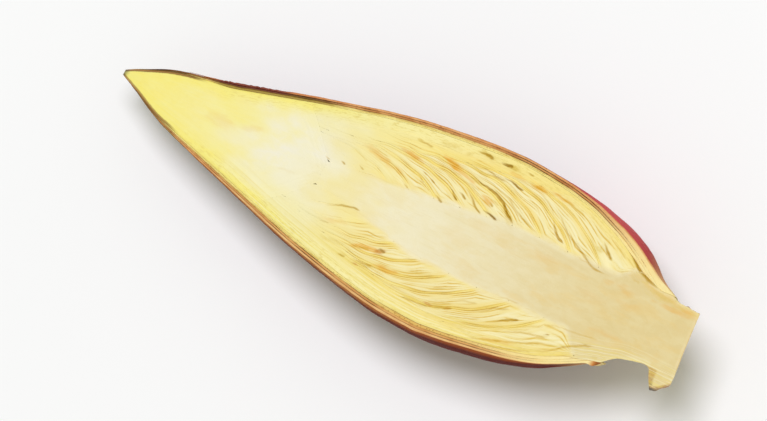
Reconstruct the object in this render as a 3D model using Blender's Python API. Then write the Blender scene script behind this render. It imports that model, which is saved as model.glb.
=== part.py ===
# Half of a banana blossom, cut lengthwise, lying on its back with the cut face up.
#
# The blossom is drawn in its own section frame, in millimetres:
#   u  runs along the blossom's axis, from the pointed tip (u = 0) to the cut stem (u = 280)
#   v  runs across the cut face, + on the fuller side of the outline
#   w  is the height: the knife cut is the plane w = 0 and the blossom lies below it
# The section frame hangs on an empty that is turned by the small angles at which the
# half lies still on a flat surface, so that world Z = 0 is that surface.
#
# From outside in, the pieces are: two overlapping outer bracts, one full middle bract,
# two inner rind bracts, then on each side of the stem core the pale bracts and, in the
# axil of each, its row of florets, and at the pointed end the heart of unopened bracts.

import bpy
import bmesh
import math
from mathutils import Euler, Vector

MM = 0.001

# ---------------------------------------------------------------- driving sizes
BETA = math.radians(11.0)      # the cut passes this far above the widest plane
KAPPA = 0.93                   # depth of the section against its width
GAP = 0.32                     # clearance between neighbouring pieces
RIND = 0.95                    # thickness of one rind bract at the cut
STEP = RIND + 0.30             # from one rind bract to the next
BRACT = 0.85                   # thickness of one pale inner bract
HEART_END = 100.0              # where the heart meets the stem core
HEART_SHOULDER = 80.0          # where the heart's widest part gives way to the first pale bracts
REST_PITCH = -5.9              # degrees about the cross axis: the heavy tip side settles, the stem rises
REST_ROLL = -5.2               # degrees about the long axis: the fuller side settles

# half widths of the outline on either side of the axis: (u, +v side, -v side)
OUTLINE = (
    (0.0, 1.2, 1.1), (4.0, 3.4, 2.8), (9.0, 5.8, 5.0), (18.0, 10.0, 9.2),
    (27.0, 12.7, 12.6), (44.0, 17.1, 17.5), (62.0, 22.3, 22.3),
    (80.0, 27.6, 27.1), (98.0, 32.4, 31.8), (115.0, 36.8, 35.5),
    (133.0, 40.4, 38.7), (151.0, 42.8, 41.0), (168.0, 44.6, 41.5),
    (177.0, 45.1, 40.7), (195.0, 44.1, 37.8), (213.0, 41.4, 34.1),
    (222.0, 39.0, 31.4), (231.0, 36.2, 27.4), (240.0, 32.3, 22.6),
    (247.0, 28.5, 18.6), (255.0, 24.0, 16.0), (264.0, 20.4, 15.2),
)
# how far the bracts swell out beyond the outline under the cut, near their bases: (u, +v side, -v side)
SWELL = (
    (190.0, 0.0, 0.0), (200.0, 0.4, 0.0), (211.0, 1.2, -0.5), (221.0, 1.9, -1.4), (232.0, 2.5, -2.5),
    (242.0, 2.6, -3.0), (248.0, 1.8, -2.0), (254.0, 0.7, 0.0), (262.0, 0.0, 0.0),
)
# half widths of the stem core, which narrows to a neck and flares to a collar
CORE = (
    (80.0, 4.6, 4.2), (96.0, 5.0, 4.6), (106.0, 6.6, 6.2), (118.0, 8.4, 7.6), (130.0, 9.8, 9.4),
    (142.0, 10.9, 11.8), (154.0, 12.4, 13.0), (168.0, 14.2, 13.4),
    (182.0, 16.2, 13.4), (196.0, 17.2, 12.4), (212.0, 17.2, 11.8),
    (226.0, 17.2, 11.6), (236.0, 17.6, 12.2), (243.0, 18.4, 14.0),
    (248.0, 19.2, 14.6), (253.0, 19.8, 13.2), (258.0, 19.8, 11.9),
    (262.0, 19.6, 10.8), (266.0, 19.5, 10.1), (267.4, 19.4, 10.5),
    (269.4, 19.4, 14.8), (271.0, 19.3, 17.5), (272.2, 19.3, 17.4),
    (275.0, 19.2, 15.6), (278.4, 19.0, 12.8),
)
END_SHEAR = -0.125             # the stem's cut end leans by this much per mm of v
END_LEAN = 0.42                # and by this much per mm of depth, so it is longest at the cut face

# where the bracts join the core, from the heart to the stem, on the two sides
JOINTS_UP = (101.0, 114.0, 127.0, 139.0, 151.0, 163.0, 175.0, 187.0, 200.0, 214.0, 229.0, 248.0)
JOINTS_DOWN = (101.0, 116.0, 131.0, 145.0, 159.0, 173.0, 187.0, 202.0, 219.0, 240.0)
BARE_UNITS = 2                 # the first bracts by the heart have no florets yet
LAYER_REACH = 22.0             # length over which a bract turns from the core to the rind
LAYER_FLOOR = 0.20             # share of the spacing that a layer keeps beyond that
FLORET_REACH = 46.0            # length of a floret along its bract
FLORET_ROWS = 4                # florets side by side under a bract, in this half

COLOURS = {
    "outer_bract": ((0.200, 0.030, 0.028), 0.42),
    "rind_bract": ((0.360, 0.100, 0.060), 0.50),
    "inner_bract": ((0.840, 0.720, 0.300), 0.50),
    "floret": ((0.880, 0.780, 0.460), 0.45),
    "heart": ((0.900, 0.800, 0.280), 0.45),
    "stem_core": ((0.830, 0.700, 0.400), 0.55),
}


# ---------------------------------------------------------------- small helpers
def curve(table, column):
    """A smooth curve without overshoot through a column of a table of stations."""
    xs = [row[0] for row in table]
    ys = [row[column] for row in table]
    n = len(xs)
    h = [xs[i + 1] - xs[i] for i in range(n - 1)]
    d = [(ys[i + 1] - ys[i]) / h[i] for i in range(n - 1)]
    m = [d[0]] + [0.0] * (n - 2) + [d[-1]]
    for i in range(1, n - 1):
        if d[i - 1] * d[i] > 0:
            a, b = 2 * h[i] + h[i - 1], h[i] + 2 * h[i - 1]
            m[i] = (a + b) / (a / d[i - 1] + b / d[i])

    def at(x):
        if x <= xs[0]:
            return ys[0]
        if x >= xs[-1]:
            return ys[-1]
        i = max(j for j in range(n - 1) if xs[j] <= x)
        t = (x - xs[i]) / h[i]
        return (
            ys[i] * (2 * t**3 - 3 * t**2 + 1)
            + m[i] * h[i] * (t**3 - 2 * t**2 + t)
            + ys[i + 1] * (3 * t**2 - 2 * t**3)
            + m[i + 1] * h[i] * (t**3 - t**2)
        )

    return at


def smooth(a, b, x):
    t = min(1.0, max(0.0, (x - a) / (b - a)))
    return t * t * (3 - 2 * t)


def polyline(xs, ys):
    """Straight lines between grid stations."""

    def at(x):
        if x <= xs[0]:
            return ys[0]
        if x >= xs[-1]:
            return ys[-1]
        i = max(j for j in range(len(xs) - 1) if xs[j] <= x)
        t = (x - xs[i]) / (xs[i + 1] - xs[i])
        return ys[i] * (1 - t) + ys[i + 1] * t

    return at


top, bottom = curve(OUTLINE, 1), curve(OUTLINE, 2)
core_top, core_bottom = curve(CORE, 1), curve(CORE, 2)
swell_top, swell_bottom = curve(SWELL, 1), curve(SWELL, 2)


def arc(up, down, phi, kappa):
    """A point of a section arc that meets the cut plane at v = up and v = -down."""
    radius = (up + down) / 2 / math.cos(BETA)
    v = (up - down) / 2 + radius * math.cos(phi)
    w = -kappa * radius * (math.sin(phi) + math.sin(BETA))
    return v, w


def swelling(phi):
    """From 0 at the cut to 1 a little below it, and back to 0 further round."""
    t = min(1.0, max(0.0, (phi + BETA) / (BETA + 1.2)))
    return math.sin(math.pi * t**0.6)


def rind_arc(u, depth, phi):
    """A point that lies depth mm inside the outline, measured square to it."""
    slope_up = (top(u + 1) - top(u - 1)) / 2
    slope_down = (bottom(u + 1) - bottom(u - 1)) / 2
    up = top(u) - depth * math.sqrt(1 + slope_up**2)
    down = bottom(u) - depth * math.sqrt(1 + slope_down**2)
    v, w = arc(up, down, phi, KAPPA)
    return v + swell_top(u) * swelling(phi) - swell_bottom(u) * swelling(math.pi - phi), w


# ---------------------------------------------------------------- building solids
def material(slot):
    found = bpy.data.materials.get(slot)
    if found:
        return found
    colour, rough = COLOURS[slot]
    made = bpy.data.materials.new(slot)
    made.use_nodes = True
    shader = made.node_tree.nodes["Principled BSDF"]
    shader.inputs["Base Color"].default_value = (*colour, 1.0)
    shader.inputs["Roughness"].default_value = rough
    shader.inputs["Metallic"].default_value = 0.0
    made.diffuse_color = (*colour, 1.0)
    return made


def add_object(name, bm, slot, frame):
    bmesh.ops.recalc_face_normals(bm, faces=bm.faces)
    mesh = bpy.data.meshes.new(name)
    bm.to_mesh(mesh)
    bm.free()
    mesh.materials.append(material(slot))
    mesh.shade_smooth()
    mesh.set_sharp_from_angle(angle=math.radians(35))
    made = bpy.data.objects.new(name, mesh)
    bpy.context.scene.collection.objects.link(made)
    made.parent = frame
    return made


def slab(bm, outer, inner, cut_away=()):
    """A closed plate between two grids of points: rows run along u, columns round the axis.
    cut_away lists the cells (row, column) that are left open, as between the florets of one hand."""
    rows, columns = len(outer) - 1, len(outer[0]) - 1
    solid = {(i, j) for i in range(rows) for j in range(columns)} - set(cut_away)
    used = {(i + a, j + b) for i, j in solid for a in (0, 1) for b in (0, 1)}
    a = {(i, j): bm.verts.new(Vector(outer[i][j]) * MM) for i, j in sorted(used)}
    b = {(i, j): bm.verts.new(Vector(inner[i][j]) * MM) for i, j in sorted(used)}
    for i, j in sorted(solid):
        p, q, r, t = (i, j), (i + 1, j), (i + 1, j + 1), (i, j + 1)
        bm.faces.new((a[p], a[q], a[r], a[t]))
        bm.faces.new((b[p], b[t], b[r], b[q]))
        for beside, m, n in (((i - 1, j), t, p), ((i + 1, j), q, r), ((i, j - 1), p, q), ((i, j + 1), r, t)):
            if beside not in solid:
                bm.faces.new((a[m], b[m], b[n], a[n]))


def spindle(bm, rings):
    """A closed solid through half rings, each of which starts and ends on the cut plane."""
    loops = [[bm.verts.new(Vector(p) * MM) for p in ring] for ring in rings]
    n = len(loops[0])
    for a, b in zip(loops, loops[1:]):
        for j in range(n):
            k = (j + 1) % n
            bm.faces.new((a[j], b[j], b[k], a[k]))
    bm.faces.new(loops[0])
    bm.faces.new(list(reversed(loops[-1])))


# ---------------------------------------------------------------- the rind
TIPS = (26.8, 18.8, 10.8)      # where the rind bracts of each level end at the tip
STATIONS = (
    10.8, 15.6, 18.4, 18.8, 23.6, 26.4, 26.8, 34.0, 46.0, 60.0, 76.0, 93.0,
    111.0, 128.0, 144.0, 159.0, 173.0, 186.0, 198.0,
)


def level_depth(level, u):
    """Depth of a rind bract's outer face: an inner level steps out past the end of the one over it."""
    ramps = [min(1.0, max(0.0, (u - TIPS[above] + 3.2) / 2.8)) for above in range(level)]
    return STEP * sum(ramps)


def rind_bract(name, slot, frame, level, phi_a, phi_b, u_end, columns, more):
    """A thin curved bract. phi_a and phi_b give its two edges, and u_end its base, as functions."""
    outer, inner = [], []
    shared = [u for u in STATIONS if u >= TIPS[level]]
    for i in range(len(shared) + more):
        share = 0.0 if i < len(shared) else (i - len(shared) + 1) / more
        near = shared[min(i, len(shared) - 1)]
        mid = near + (u_end(math.pi / 2) - near) * share
        row_out, row_in = [], []
        for j in range(columns + 1):
            phi = phi_a(mid) + (phi_b(mid) - phi_a(mid)) * j / columns
            u = near + (u_end(phi) - near) * share
            depth = level_depth(level, u)
            row_out.append((u, *rind_arc(u, depth, phi)))
            row_in.append((u, *rind_arc(u, depth + RIND, phi)))
        outer.append(row_out)
        inner.append(row_in)
    bm = bmesh.new()
    slab(bm, outer, inner)
    return add_object(name, bm, slot, frame)


# ---------------------------------------------------------------- the layers inside
GRID = [HEART_SHOULDER + 0.6 + i * (250.0 - HEART_SHOULDER - 0.6) / 23 for i in range(24)]
CELLS = 12
PHIS = [-BETA + (math.pi + 2 * BETA) * j / CELLS for j in range(CELLS + 1)]
INSIDE = 3 * STEP - 0.30 + GAP     # depth at which the rind leaves room for the layers


def layer_share(u, joint, last):
    """How far out, from 0 at the core to 1 at the rind, the layer that joins the core at joint lies at u."""
    if u >= joint:
        return 0.0

    def rise(t):
        return LAYER_REACH * (1 - math.exp(-t / LAYER_REACH)) + LAYER_FLOOR * t

    return rise(joint - u) / rise(last - u)


def core_point(u, phi):
    return arc(core_top(u), core_bottom(u), phi, 1.0)


def between(u, share, j, along=0.0):
    """The point at that share between core and rind, on the straight chord from station j round the axis."""
    i = max(k for k in range(len(GRID) - 1) if GRID[k] <= u or k == 0)
    t = (u - GRID[i]) / (GRID[i + 1] - GRID[i])
    point = [0.0, 0.0]
    for g, wu in ((i, 1 - t), (i + 1, t)):
        for k, wj in ((j, 1 - along), (j + 1, along)):
            if wu == 0 or wj == 0:
                continue
            a = core_point(GRID[g], PHIS[k])
            b = rind_arc(GRID[g], INSIDE, PHIS[k])
            for axis in range(2):
                point[axis] += wu * wj * (a[axis] * (1 - share) + b[axis] * share)
    return (u, point[0], point[1])


def room(u, side):
    """Width between the core and the rind at the cut face."""
    if side > 0:
        return rind_arc(u, INSIDE, -BETA)[0] - core_top(u)
    return -rind_arc(u, INSIDE, math.pi + BETA)[0] - core_bottom(u)


def heart_side(line, side):
    """Where a layer starts beside the heart, whose shoulder slopes from the rind down to the core."""
    u = HEART_END + 0.6
    while u > GRID[0] + 0.3:
        shoulder = (HEART_END - (u - 0.3)) / (HEART_END - HEART_SHOULDER)
        if line(u - 0.3) < shoulder + 0.8 / room(u, side):
            break
        u -= 0.3
    return u


def layers(side, joints, frame):
    word = "upper" if side > 0 else "lower"
    last = joints[-1]
    lines = [polyline(GRID, [layer_share(g, joint, last) for g in GRID]) for joint in joints]
    half = CELLS // 2
    columns = list(range(0, half + 1)) if side > 0 else list(range(CELLS, half - 1, -1))
    for k in range(len(joints) - 1):
        low, high = lines[k], lines[k + 1]
        joint = joints[k + 1]
        has_florets = k >= BARE_UNITS
        reach = min(FLORET_REACH, joint - HEART_END - 4.0)
        left = heart_side(low, side)
        stations = [left] + [g for g in GRID if left + 1.5 < g < joint - 2.5]
        start = joint - 2.2
        stations.append(start)

        def bract_edges(u):
            wide = room(u, side)
            outer = high(u) - (GAP / wide if u < joints[-1] else 0)
            t = joint - u
            floor = (low(u) if u < joints[k] else 0.0) + 0.10 / wide
            thin = outer - BRACT / wide
            if not has_florets:
                return outer, max(floor, thin if t < 6 else floor)
            full = smooth(reach - 2, reach + 16, t)
            return outer, max(floor, thin * (1 - full) + floor * full)

        outer, inner = [], []
        for u in stations:
            o, n = bract_edges(u)
            if (o - n) * room(u, side) < 0.25:
                continue
            row_out, row_in = [], []
            for index, j in enumerate(columns):
                # the last column stops just short of the keel, where the other side's bracts end
                if index == len(columns) - 1:
                    jj, along = (half - 1, 0.97) if side > 0 else (half, 0.03)
                else:
                    jj, along = (j, 0.0) if j < CELLS else (CELLS - 1, 1.0)
                row_out.append(between(u, o, jj, along))
                row_in.append(between(u, n, jj, along))
            outer.append(row_out)
            inner.append(row_in)
        bm = bmesh.new()
        slab(bm, outer, inner)
        add_object(f"inner_bract_{word}_{k + 1:02d}", bm, "inner_bract", frame)
        if not has_florets:
            continue

        # one hand of florets: fingers side by side, grown together where they leave the core
        u_left, u_right = joint - reach, joint - 4.5
        marks = sorted({u_left, u_right} | {g for g in GRID if u_left + 1.5 < g < u_right - 1.5})
        columns_of, open_columns = [0.0], []
        for row in range(FLORET_ROWS):
            a, b = row * half / FLORET_ROWS, (row + 1) * half / FLORET_ROWS
            columns_of += [float(c) for c in range(half + 1) if a < c < b]
            if row < FLORET_ROWS - 1:
                open_columns.append(len(columns_of))
                columns_of += [b - 0.03, b + 0.03]
        columns_of.append(half - 0.05)
        outer, inner = [], []
        for u in marks:
            wide = room(u, side)
            o = bract_edges(u)[1] - GAP / wide
            n = (low(u) if u < joints[k] else 0.0) + (0.10 if u < joints[k] else GAP) / wide
            # a floret is slim where it joins the core and at its own tip
            body = smooth(0, 10, u - u_left + 2.0) * smooth(0, 7, u_right - u + 3.0)
            middle = (o + n) / 2
            o, n = middle + (o - middle) * (0.35 + 0.65 * body), middle - (middle - n) * (0.35 + 0.65 * body)
            if (o - n) * wide < 0.3:
                continue
            row_out, row_in = [], []
            for c in columns_of:
                place = c if side > 0 else CELLS - c
                j = min(CELLS - 1, int(math.floor(place + 1e-9)))
                row_out.append(between(u, o, j, place - j))
                row_in.append(between(u, n, j, place - j))
            outer.append(row_out)
            inner.append(row_in)
        gaps = [(i, c) for i in range(len(outer) - 2) for c in open_columns]
        bm = bmesh.new()
        slab(bm, outer, inner, gaps)
        add_object(f"floret_row_{word}_{k + 1:02d}", bm, "floret", frame)


# ---------------------------------------------------------------- heart and core
def half_ring(u, up, down, kappa, cells, shear=0.0, lean=0.0):
    ring = []
    for j in range(cells + 1):
        phi = -BETA + (math.pi + 2 * BETA) * j / cells
        v, w = arc(up, down, phi, kappa)
        ring.append((u + shear * v + lean * w, v, w))
    return ring


def heart(frame):
    rings = []
    for u in (0.0, 2.0, 4.6, 7.6, 10.4) + STATIONS[1:11] + (HEART_SHOULDER,):
        depth = level_depth(3, u)
        if depth:
            depth += 0.04
        slope_up = (top(u + 1) - top(u - 1)) / 2
        slope_down = (bottom(u + 1) - bottom(u - 1)) / 2
        rings.append(
            half_ring(
                u,
                top(u) - depth * math.sqrt(1 + slope_up**2),
                bottom(u) - depth * math.sqrt(1 + slope_down**2),
                KAPPA,
                CELLS,
            )
        )
    for step in range(1, 5):
        u = HEART_SHOULDER + (HEART_END - HEART_SHOULDER) * step / 4
        ring = []
        for phi in PHIS:
            a, b = core_point(u, phi), rind_arc(u, INSIDE, phi)
            share = 1 - step / 4
            ring.append((u, a[0] * (1 - share) + b[0] * share, a[1] * (1 - share) + b[1] * share))
        rings.append(ring)
    bm = bmesh.new()
    spindle(bm, rings)
    return add_object("heart", bm, "heart", frame)


def stem_core(frame):
    rings = []
    stations = [HEART_END + 0.4] + [g for g in GRID if HEART_END + 3.0 < g < 248.0] + [
        250.0, 253.0, 258.0, 262.0, 266.0, 267.4, 269.4, 271.0, 272.2, 275.0, 278.4,
    ]
    for u in stations:
        shear = END_SHEAR * smooth(262.0, 276.0, u)
        lean = END_LEAN * smooth(266.0, 278.4, u)
        rings.append(half_ring(u, core_top(u), core_bottom(u), 1.0, CELLS, shear, lean))
    bm = bmesh.new()
    spindle(bm, rings)
    return add_object("stem_core", bm, "stem_core", frame)


# ---------------------------------------------------------------- the whole half
def main():
    for old in list(bpy.data.objects):
        bpy.data.objects.remove(old, do_unlink=True)

    frame = bpy.data.objects.new("section_frame", None)
    bpy.context.scene.collection.objects.link(frame)
    frame.rotation_euler = Euler((math.radians(REST_ROLL), math.radians(REST_PITCH), 0.0))

    edge_low, edge_high = -BETA, math.pi + BETA

    def upper_edge(u):
        x = min(1.0, max(0.0, (u - 26.8) / (263.0 - 26.8)))
        return math.radians(-4.0 + 74.0 * math.sin(math.pi * min(1.0, x * 1.25) / 2) ** 0.8 - 16.0 * smooth(0.75, 1.0, x))

    def lower_edge(u):
        x = min(1.0, max(0.0, (u - 26.8) / (247.0 - 26.8)))
        return math.pi - math.radians(-4.0 + 66.0 * math.sin(math.pi * min(1.0, x * 1.2) / 2) ** 0.8 - 14.0 * smooth(0.75, 1.0, x))

    def base(up, down):
        return lambda phi: up + (down - up) * smooth(0.25 * math.pi, 0.85 * math.pi, phi)

    keel = math.pi / 2
    rind_bract("outer_bract_upper", "outer_bract", frame, 0,
               lambda u: edge_low, upper_edge, base(263.0, 263.0), 8, 11)
    rind_bract("outer_bract_lower", "outer_bract", frame, 0,
               lower_edge, lambda u: edge_high, base(247.0, 247.0), 8, 9)
    rind_bract("middle_bract", "outer_bract", frame, 1,
               lambda u: edge_low, lambda u: edge_high, base(257.0, 243.5), 20, 10)
    rind_bract("rind_bract_upper", "rind_bract", frame, 2,
               lambda u: edge_low, lambda u: keel - math.radians(1.0), base(251.0, 251.0), 9, 8)
    rind_bract("rind_bract_lower", "rind_bract", frame, 2,
               lambda u: keel + math.radians(1.0), lambda u: edge_high, base(239.0, 239.0), 9, 8)

    layers(1, JOINTS_UP, frame)
    layers(-1, JOINTS_DOWN, frame)
    heart(frame)
    stem_core(frame)

    # the origin is under the middle of the half, on the surface that its belly rests on
    bpy.context.view_layer.update()
    turn = frame.matrix_world.to_3x3()
    placed = [turn @ v.co for o in bpy.context.scene.objects if o.type == "MESH" for v in o.data.vertices]
    low = [min(p[axis] for p in placed) for axis in range(3)]
    high = [max(p[axis] for p in placed) for axis in range(3)]
    frame.location = (-(low[0] + high[0]) / 2, -(low[1] + high[1]) / 2, -low[2])
    bpy.context.view_layer.update()


main()
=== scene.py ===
"""The looks of the cut banana blossom: a lengthwise half lying on its back, cut face up.

All shapes are worked out in the blossom's section frame, in millimetres:
  u along the axis from the pointed tip, v across the cut face, w the height over the cut plane.
"""
import math

import bpy
import numpy as np
from mathutils import Euler, Matrix, Vector


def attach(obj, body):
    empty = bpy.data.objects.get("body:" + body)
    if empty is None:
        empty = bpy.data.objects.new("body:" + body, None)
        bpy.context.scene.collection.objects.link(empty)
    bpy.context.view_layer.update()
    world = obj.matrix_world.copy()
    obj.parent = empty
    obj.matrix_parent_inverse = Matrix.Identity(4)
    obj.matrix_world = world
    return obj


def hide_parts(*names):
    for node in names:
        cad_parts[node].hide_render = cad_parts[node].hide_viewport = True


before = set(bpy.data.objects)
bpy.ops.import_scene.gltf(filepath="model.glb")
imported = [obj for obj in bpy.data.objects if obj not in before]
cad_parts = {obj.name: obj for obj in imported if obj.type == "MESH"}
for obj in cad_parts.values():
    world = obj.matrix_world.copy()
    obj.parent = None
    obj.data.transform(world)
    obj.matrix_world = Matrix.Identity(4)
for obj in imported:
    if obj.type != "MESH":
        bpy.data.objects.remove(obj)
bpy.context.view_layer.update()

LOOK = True

# ------------------------------------------------------------------ the section frame
ORIGIN = np.array((-0.1391937, -0.0010740, 0.0299684))
TURN = np.array(Euler((math.radians(-5.2), math.radians(-5.9), 0.0)).to_matrix())


def to_world(points):
    return np.asarray(points, float) * 0.001 @ TURN.T + ORIGIN


BETA = math.radians(11.0)      # the cut passes this far above the widest plane
KAPPA = 0.93                   # depth of the section against its width

OUTLINE = np.array((
    (0.0, 1.2, 1.1), (4.0, 3.4, 2.8), (9.0, 5.8, 5.0), (18.0, 10.0, 9.2),
    (27.0, 12.7, 12.6), (44.0, 17.1, 17.5), (62.0, 22.3, 22.3),
    (80.0, 27.6, 27.1), (98.0, 32.4, 31.8), (115.0, 36.8, 35.5),
    (133.0, 40.4, 38.7), (151.0, 42.8, 41.0), (168.0, 44.6, 41.5),
    (177.0, 45.1, 40.7), (195.0, 44.1, 37.8), (213.0, 41.4, 34.1),
    (222.0, 39.0, 31.4), (231.0, 36.2, 27.4), (240.0, 32.3, 22.6),
    (247.0, 28.5, 18.6), (255.0, 24.0, 16.0), (264.0, 20.4, 15.2),
))
# how far the bracts swell out beyond the outline under the cut, near their bases
SWELL = np.array((
    (190.0, 0.0, 0.0), (200.0, 0.4, 0.0), (211.0, 1.2, -0.5), (221.0, 1.9, -1.4), (232.0, 2.5, -2.5),
    (242.0, 2.6, -3.0), (248.0, 1.8, -2.0), (254.0, 0.7, 0.0), (262.0, 0.0, 0.0),
))
CORE = np.array((
    (80.0, 4.6, 4.2), (96.0, 5.0, 4.6), (106.0, 6.6, 6.2), (118.0, 8.4, 7.6), (130.0, 9.8, 9.4),
    (142.0, 10.9, 11.8), (154.0, 12.4, 13.0), (168.0, 14.2, 13.4),
    (182.0, 16.2, 13.4), (196.0, 17.2, 12.4), (212.0, 17.2, 11.8),
    (226.0, 17.2, 11.6), (236.0, 17.6, 12.2), (243.0, 18.4, 15.2),
    (248.0, 19.2, 16.5), (251.0, 19.6, 15.2), (254.7, 19.8, 12.9), (258.0, 19.8, 11.9),
    (262.0, 19.6, 10.8), (266.0, 19.5, 10.1), (267.4, 19.4, 10.5),
    (269.4, 19.4, 14.8), (271.0, 19.3, 17.5), (272.2, 19.3, 17.4),
    (275.0, 19.2, 15.6), (278.4, 19.0, 12.8),
))
END_SHEAR, END_LEAN = -0.125, 0.42     # the stem's cut end leans by this much per mm of v, and of depth
JOINTS = {1: (101.0, 114.0, 127.0, 139.0, 151.0, 163.0, 175.0, 187.0, 200.0, 214.0, 229.0, 248.0),
          -1: (101.0, 116.0, 131.0, 145.0, 159.0, 173.0, 187.0, 202.0, 219.0, 240.0)}
HEART_SHOULDER, HEART_END = 80.0, 100.0


def monotone(table, column):
    """A smooth curve without overshoot through one column of a table, for arrays of x."""
    xs, ys = table[:, 0], table[:, column]
    h = np.diff(xs)
    d = np.diff(ys) / h
    m = np.concatenate(([d[0]], np.zeros(len(xs) - 2), [d[-1]]))
    for i in range(1, len(xs) - 1):
        if d[i - 1] * d[i] > 0:
            a, b = 2 * h[i] + h[i - 1], h[i] + 2 * h[i - 1]
            m[i] = (a + b) / (a / d[i - 1] + b / d[i])

    def at(x):
        x = np.clip(np.asarray(x, float), xs[0], xs[-1])
        i = np.clip(np.searchsorted(xs, x, side="right") - 1, 0, len(xs) - 2)
        t = (x - xs[i]) / h[i]
        return (ys[i] * (2 * t**3 - 3 * t**2 + 1) + m[i] * h[i] * (t**3 - 2 * t**2 + t)
                + ys[i + 1] * (3 * t**2 - 2 * t**3) + m[i + 1] * h[i] * (t**3 - t**2))

    return at


def smooth(a, b, x):
    t = np.clip((np.asarray(x, float) - a) / (b - a), 0.0, 1.0)
    return t * t * (3 - 2 * t)


def waves(seed, shortest, longest, count=9):
    """Smooth noise of about -1 to 1 along one coordinate."""
    rng = np.random.default_rng(seed)
    length = np.exp(rng.uniform(math.log(shortest), math.log(longest), count))
    phase = rng.uniform(0, 2 * math.pi, count)
    weight = np.sqrt(length / length.sum())

    def at(x):
        x = np.asarray(x, float)[..., None]
        return (weight * np.sin(2 * math.pi * x / length + phase)).sum(-1) * 0.9

    return at


def ripples(seed, shortest, longest, count=16, stretch=1.0):
    """Smooth noise of about -1 to 1 over a plane. stretch makes it longer along the first coordinate."""
    rng = np.random.default_rng(seed)
    length = np.exp(rng.uniform(math.log(shortest), math.log(longest), count))
    angle = rng.uniform(0, math.pi, count)
    phase = rng.uniform(0, 2 * math.pi, count)
    weight = np.sqrt(length / length.sum())

    def at(x, y):
        x, y = np.asarray(x, float)[..., None], np.asarray(y, float)[..., None]
        run = (x / stretch * np.cos(angle) + y * np.sin(angle)) / length
        return (weight * np.sin(2 * math.pi * run + phase)).sum(-1) * 0.9

    return at


outline = {1: monotone(OUTLINE, 1), -1: monotone(OUTLINE, 2)}
core_cad = {1: monotone(CORE, 1), -1: monotone(CORE, 2)}
swell = {1: monotone(SWELL, 1), -1: monotone(SWELL, 2)}


def slant(side, u):
    """How much longer a depth measured square to the outline is when measured straight across."""
    slope = (outline[side](u + 1.0) - outline[side](u - 1.0)) / 2
    return np.sqrt(1 + slope**2)


def arc(up, down, phi, kappa):
    """A point of a section arc that meets the cut plane at v = up and v = -down."""
    radius = (up + down) / 2 / math.cos(BETA)
    return ((up - down) / 2 + radius * np.cos(phi),
            -kappa * radius * (np.sin(phi) + math.sin(BETA)))


def swelling(phi):
    """From 0 at the cut to 1 a little below it, and back to 0 further round."""
    t = np.clip((phi + BETA) / (BETA + 1.2), 0.0, 1.0)
    return np.sin(math.pi * t**0.6)


def rind_arc(u, depth, phi):
    v, w = arc(outline[1](u) - depth * slant(1, u), outline[-1](u) - depth * slant(-1, u), phi, KAPPA)
    return v + swell[1](u) * swelling(phi) - swell[-1](u) * swelling(math.pi - phi), w


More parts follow.
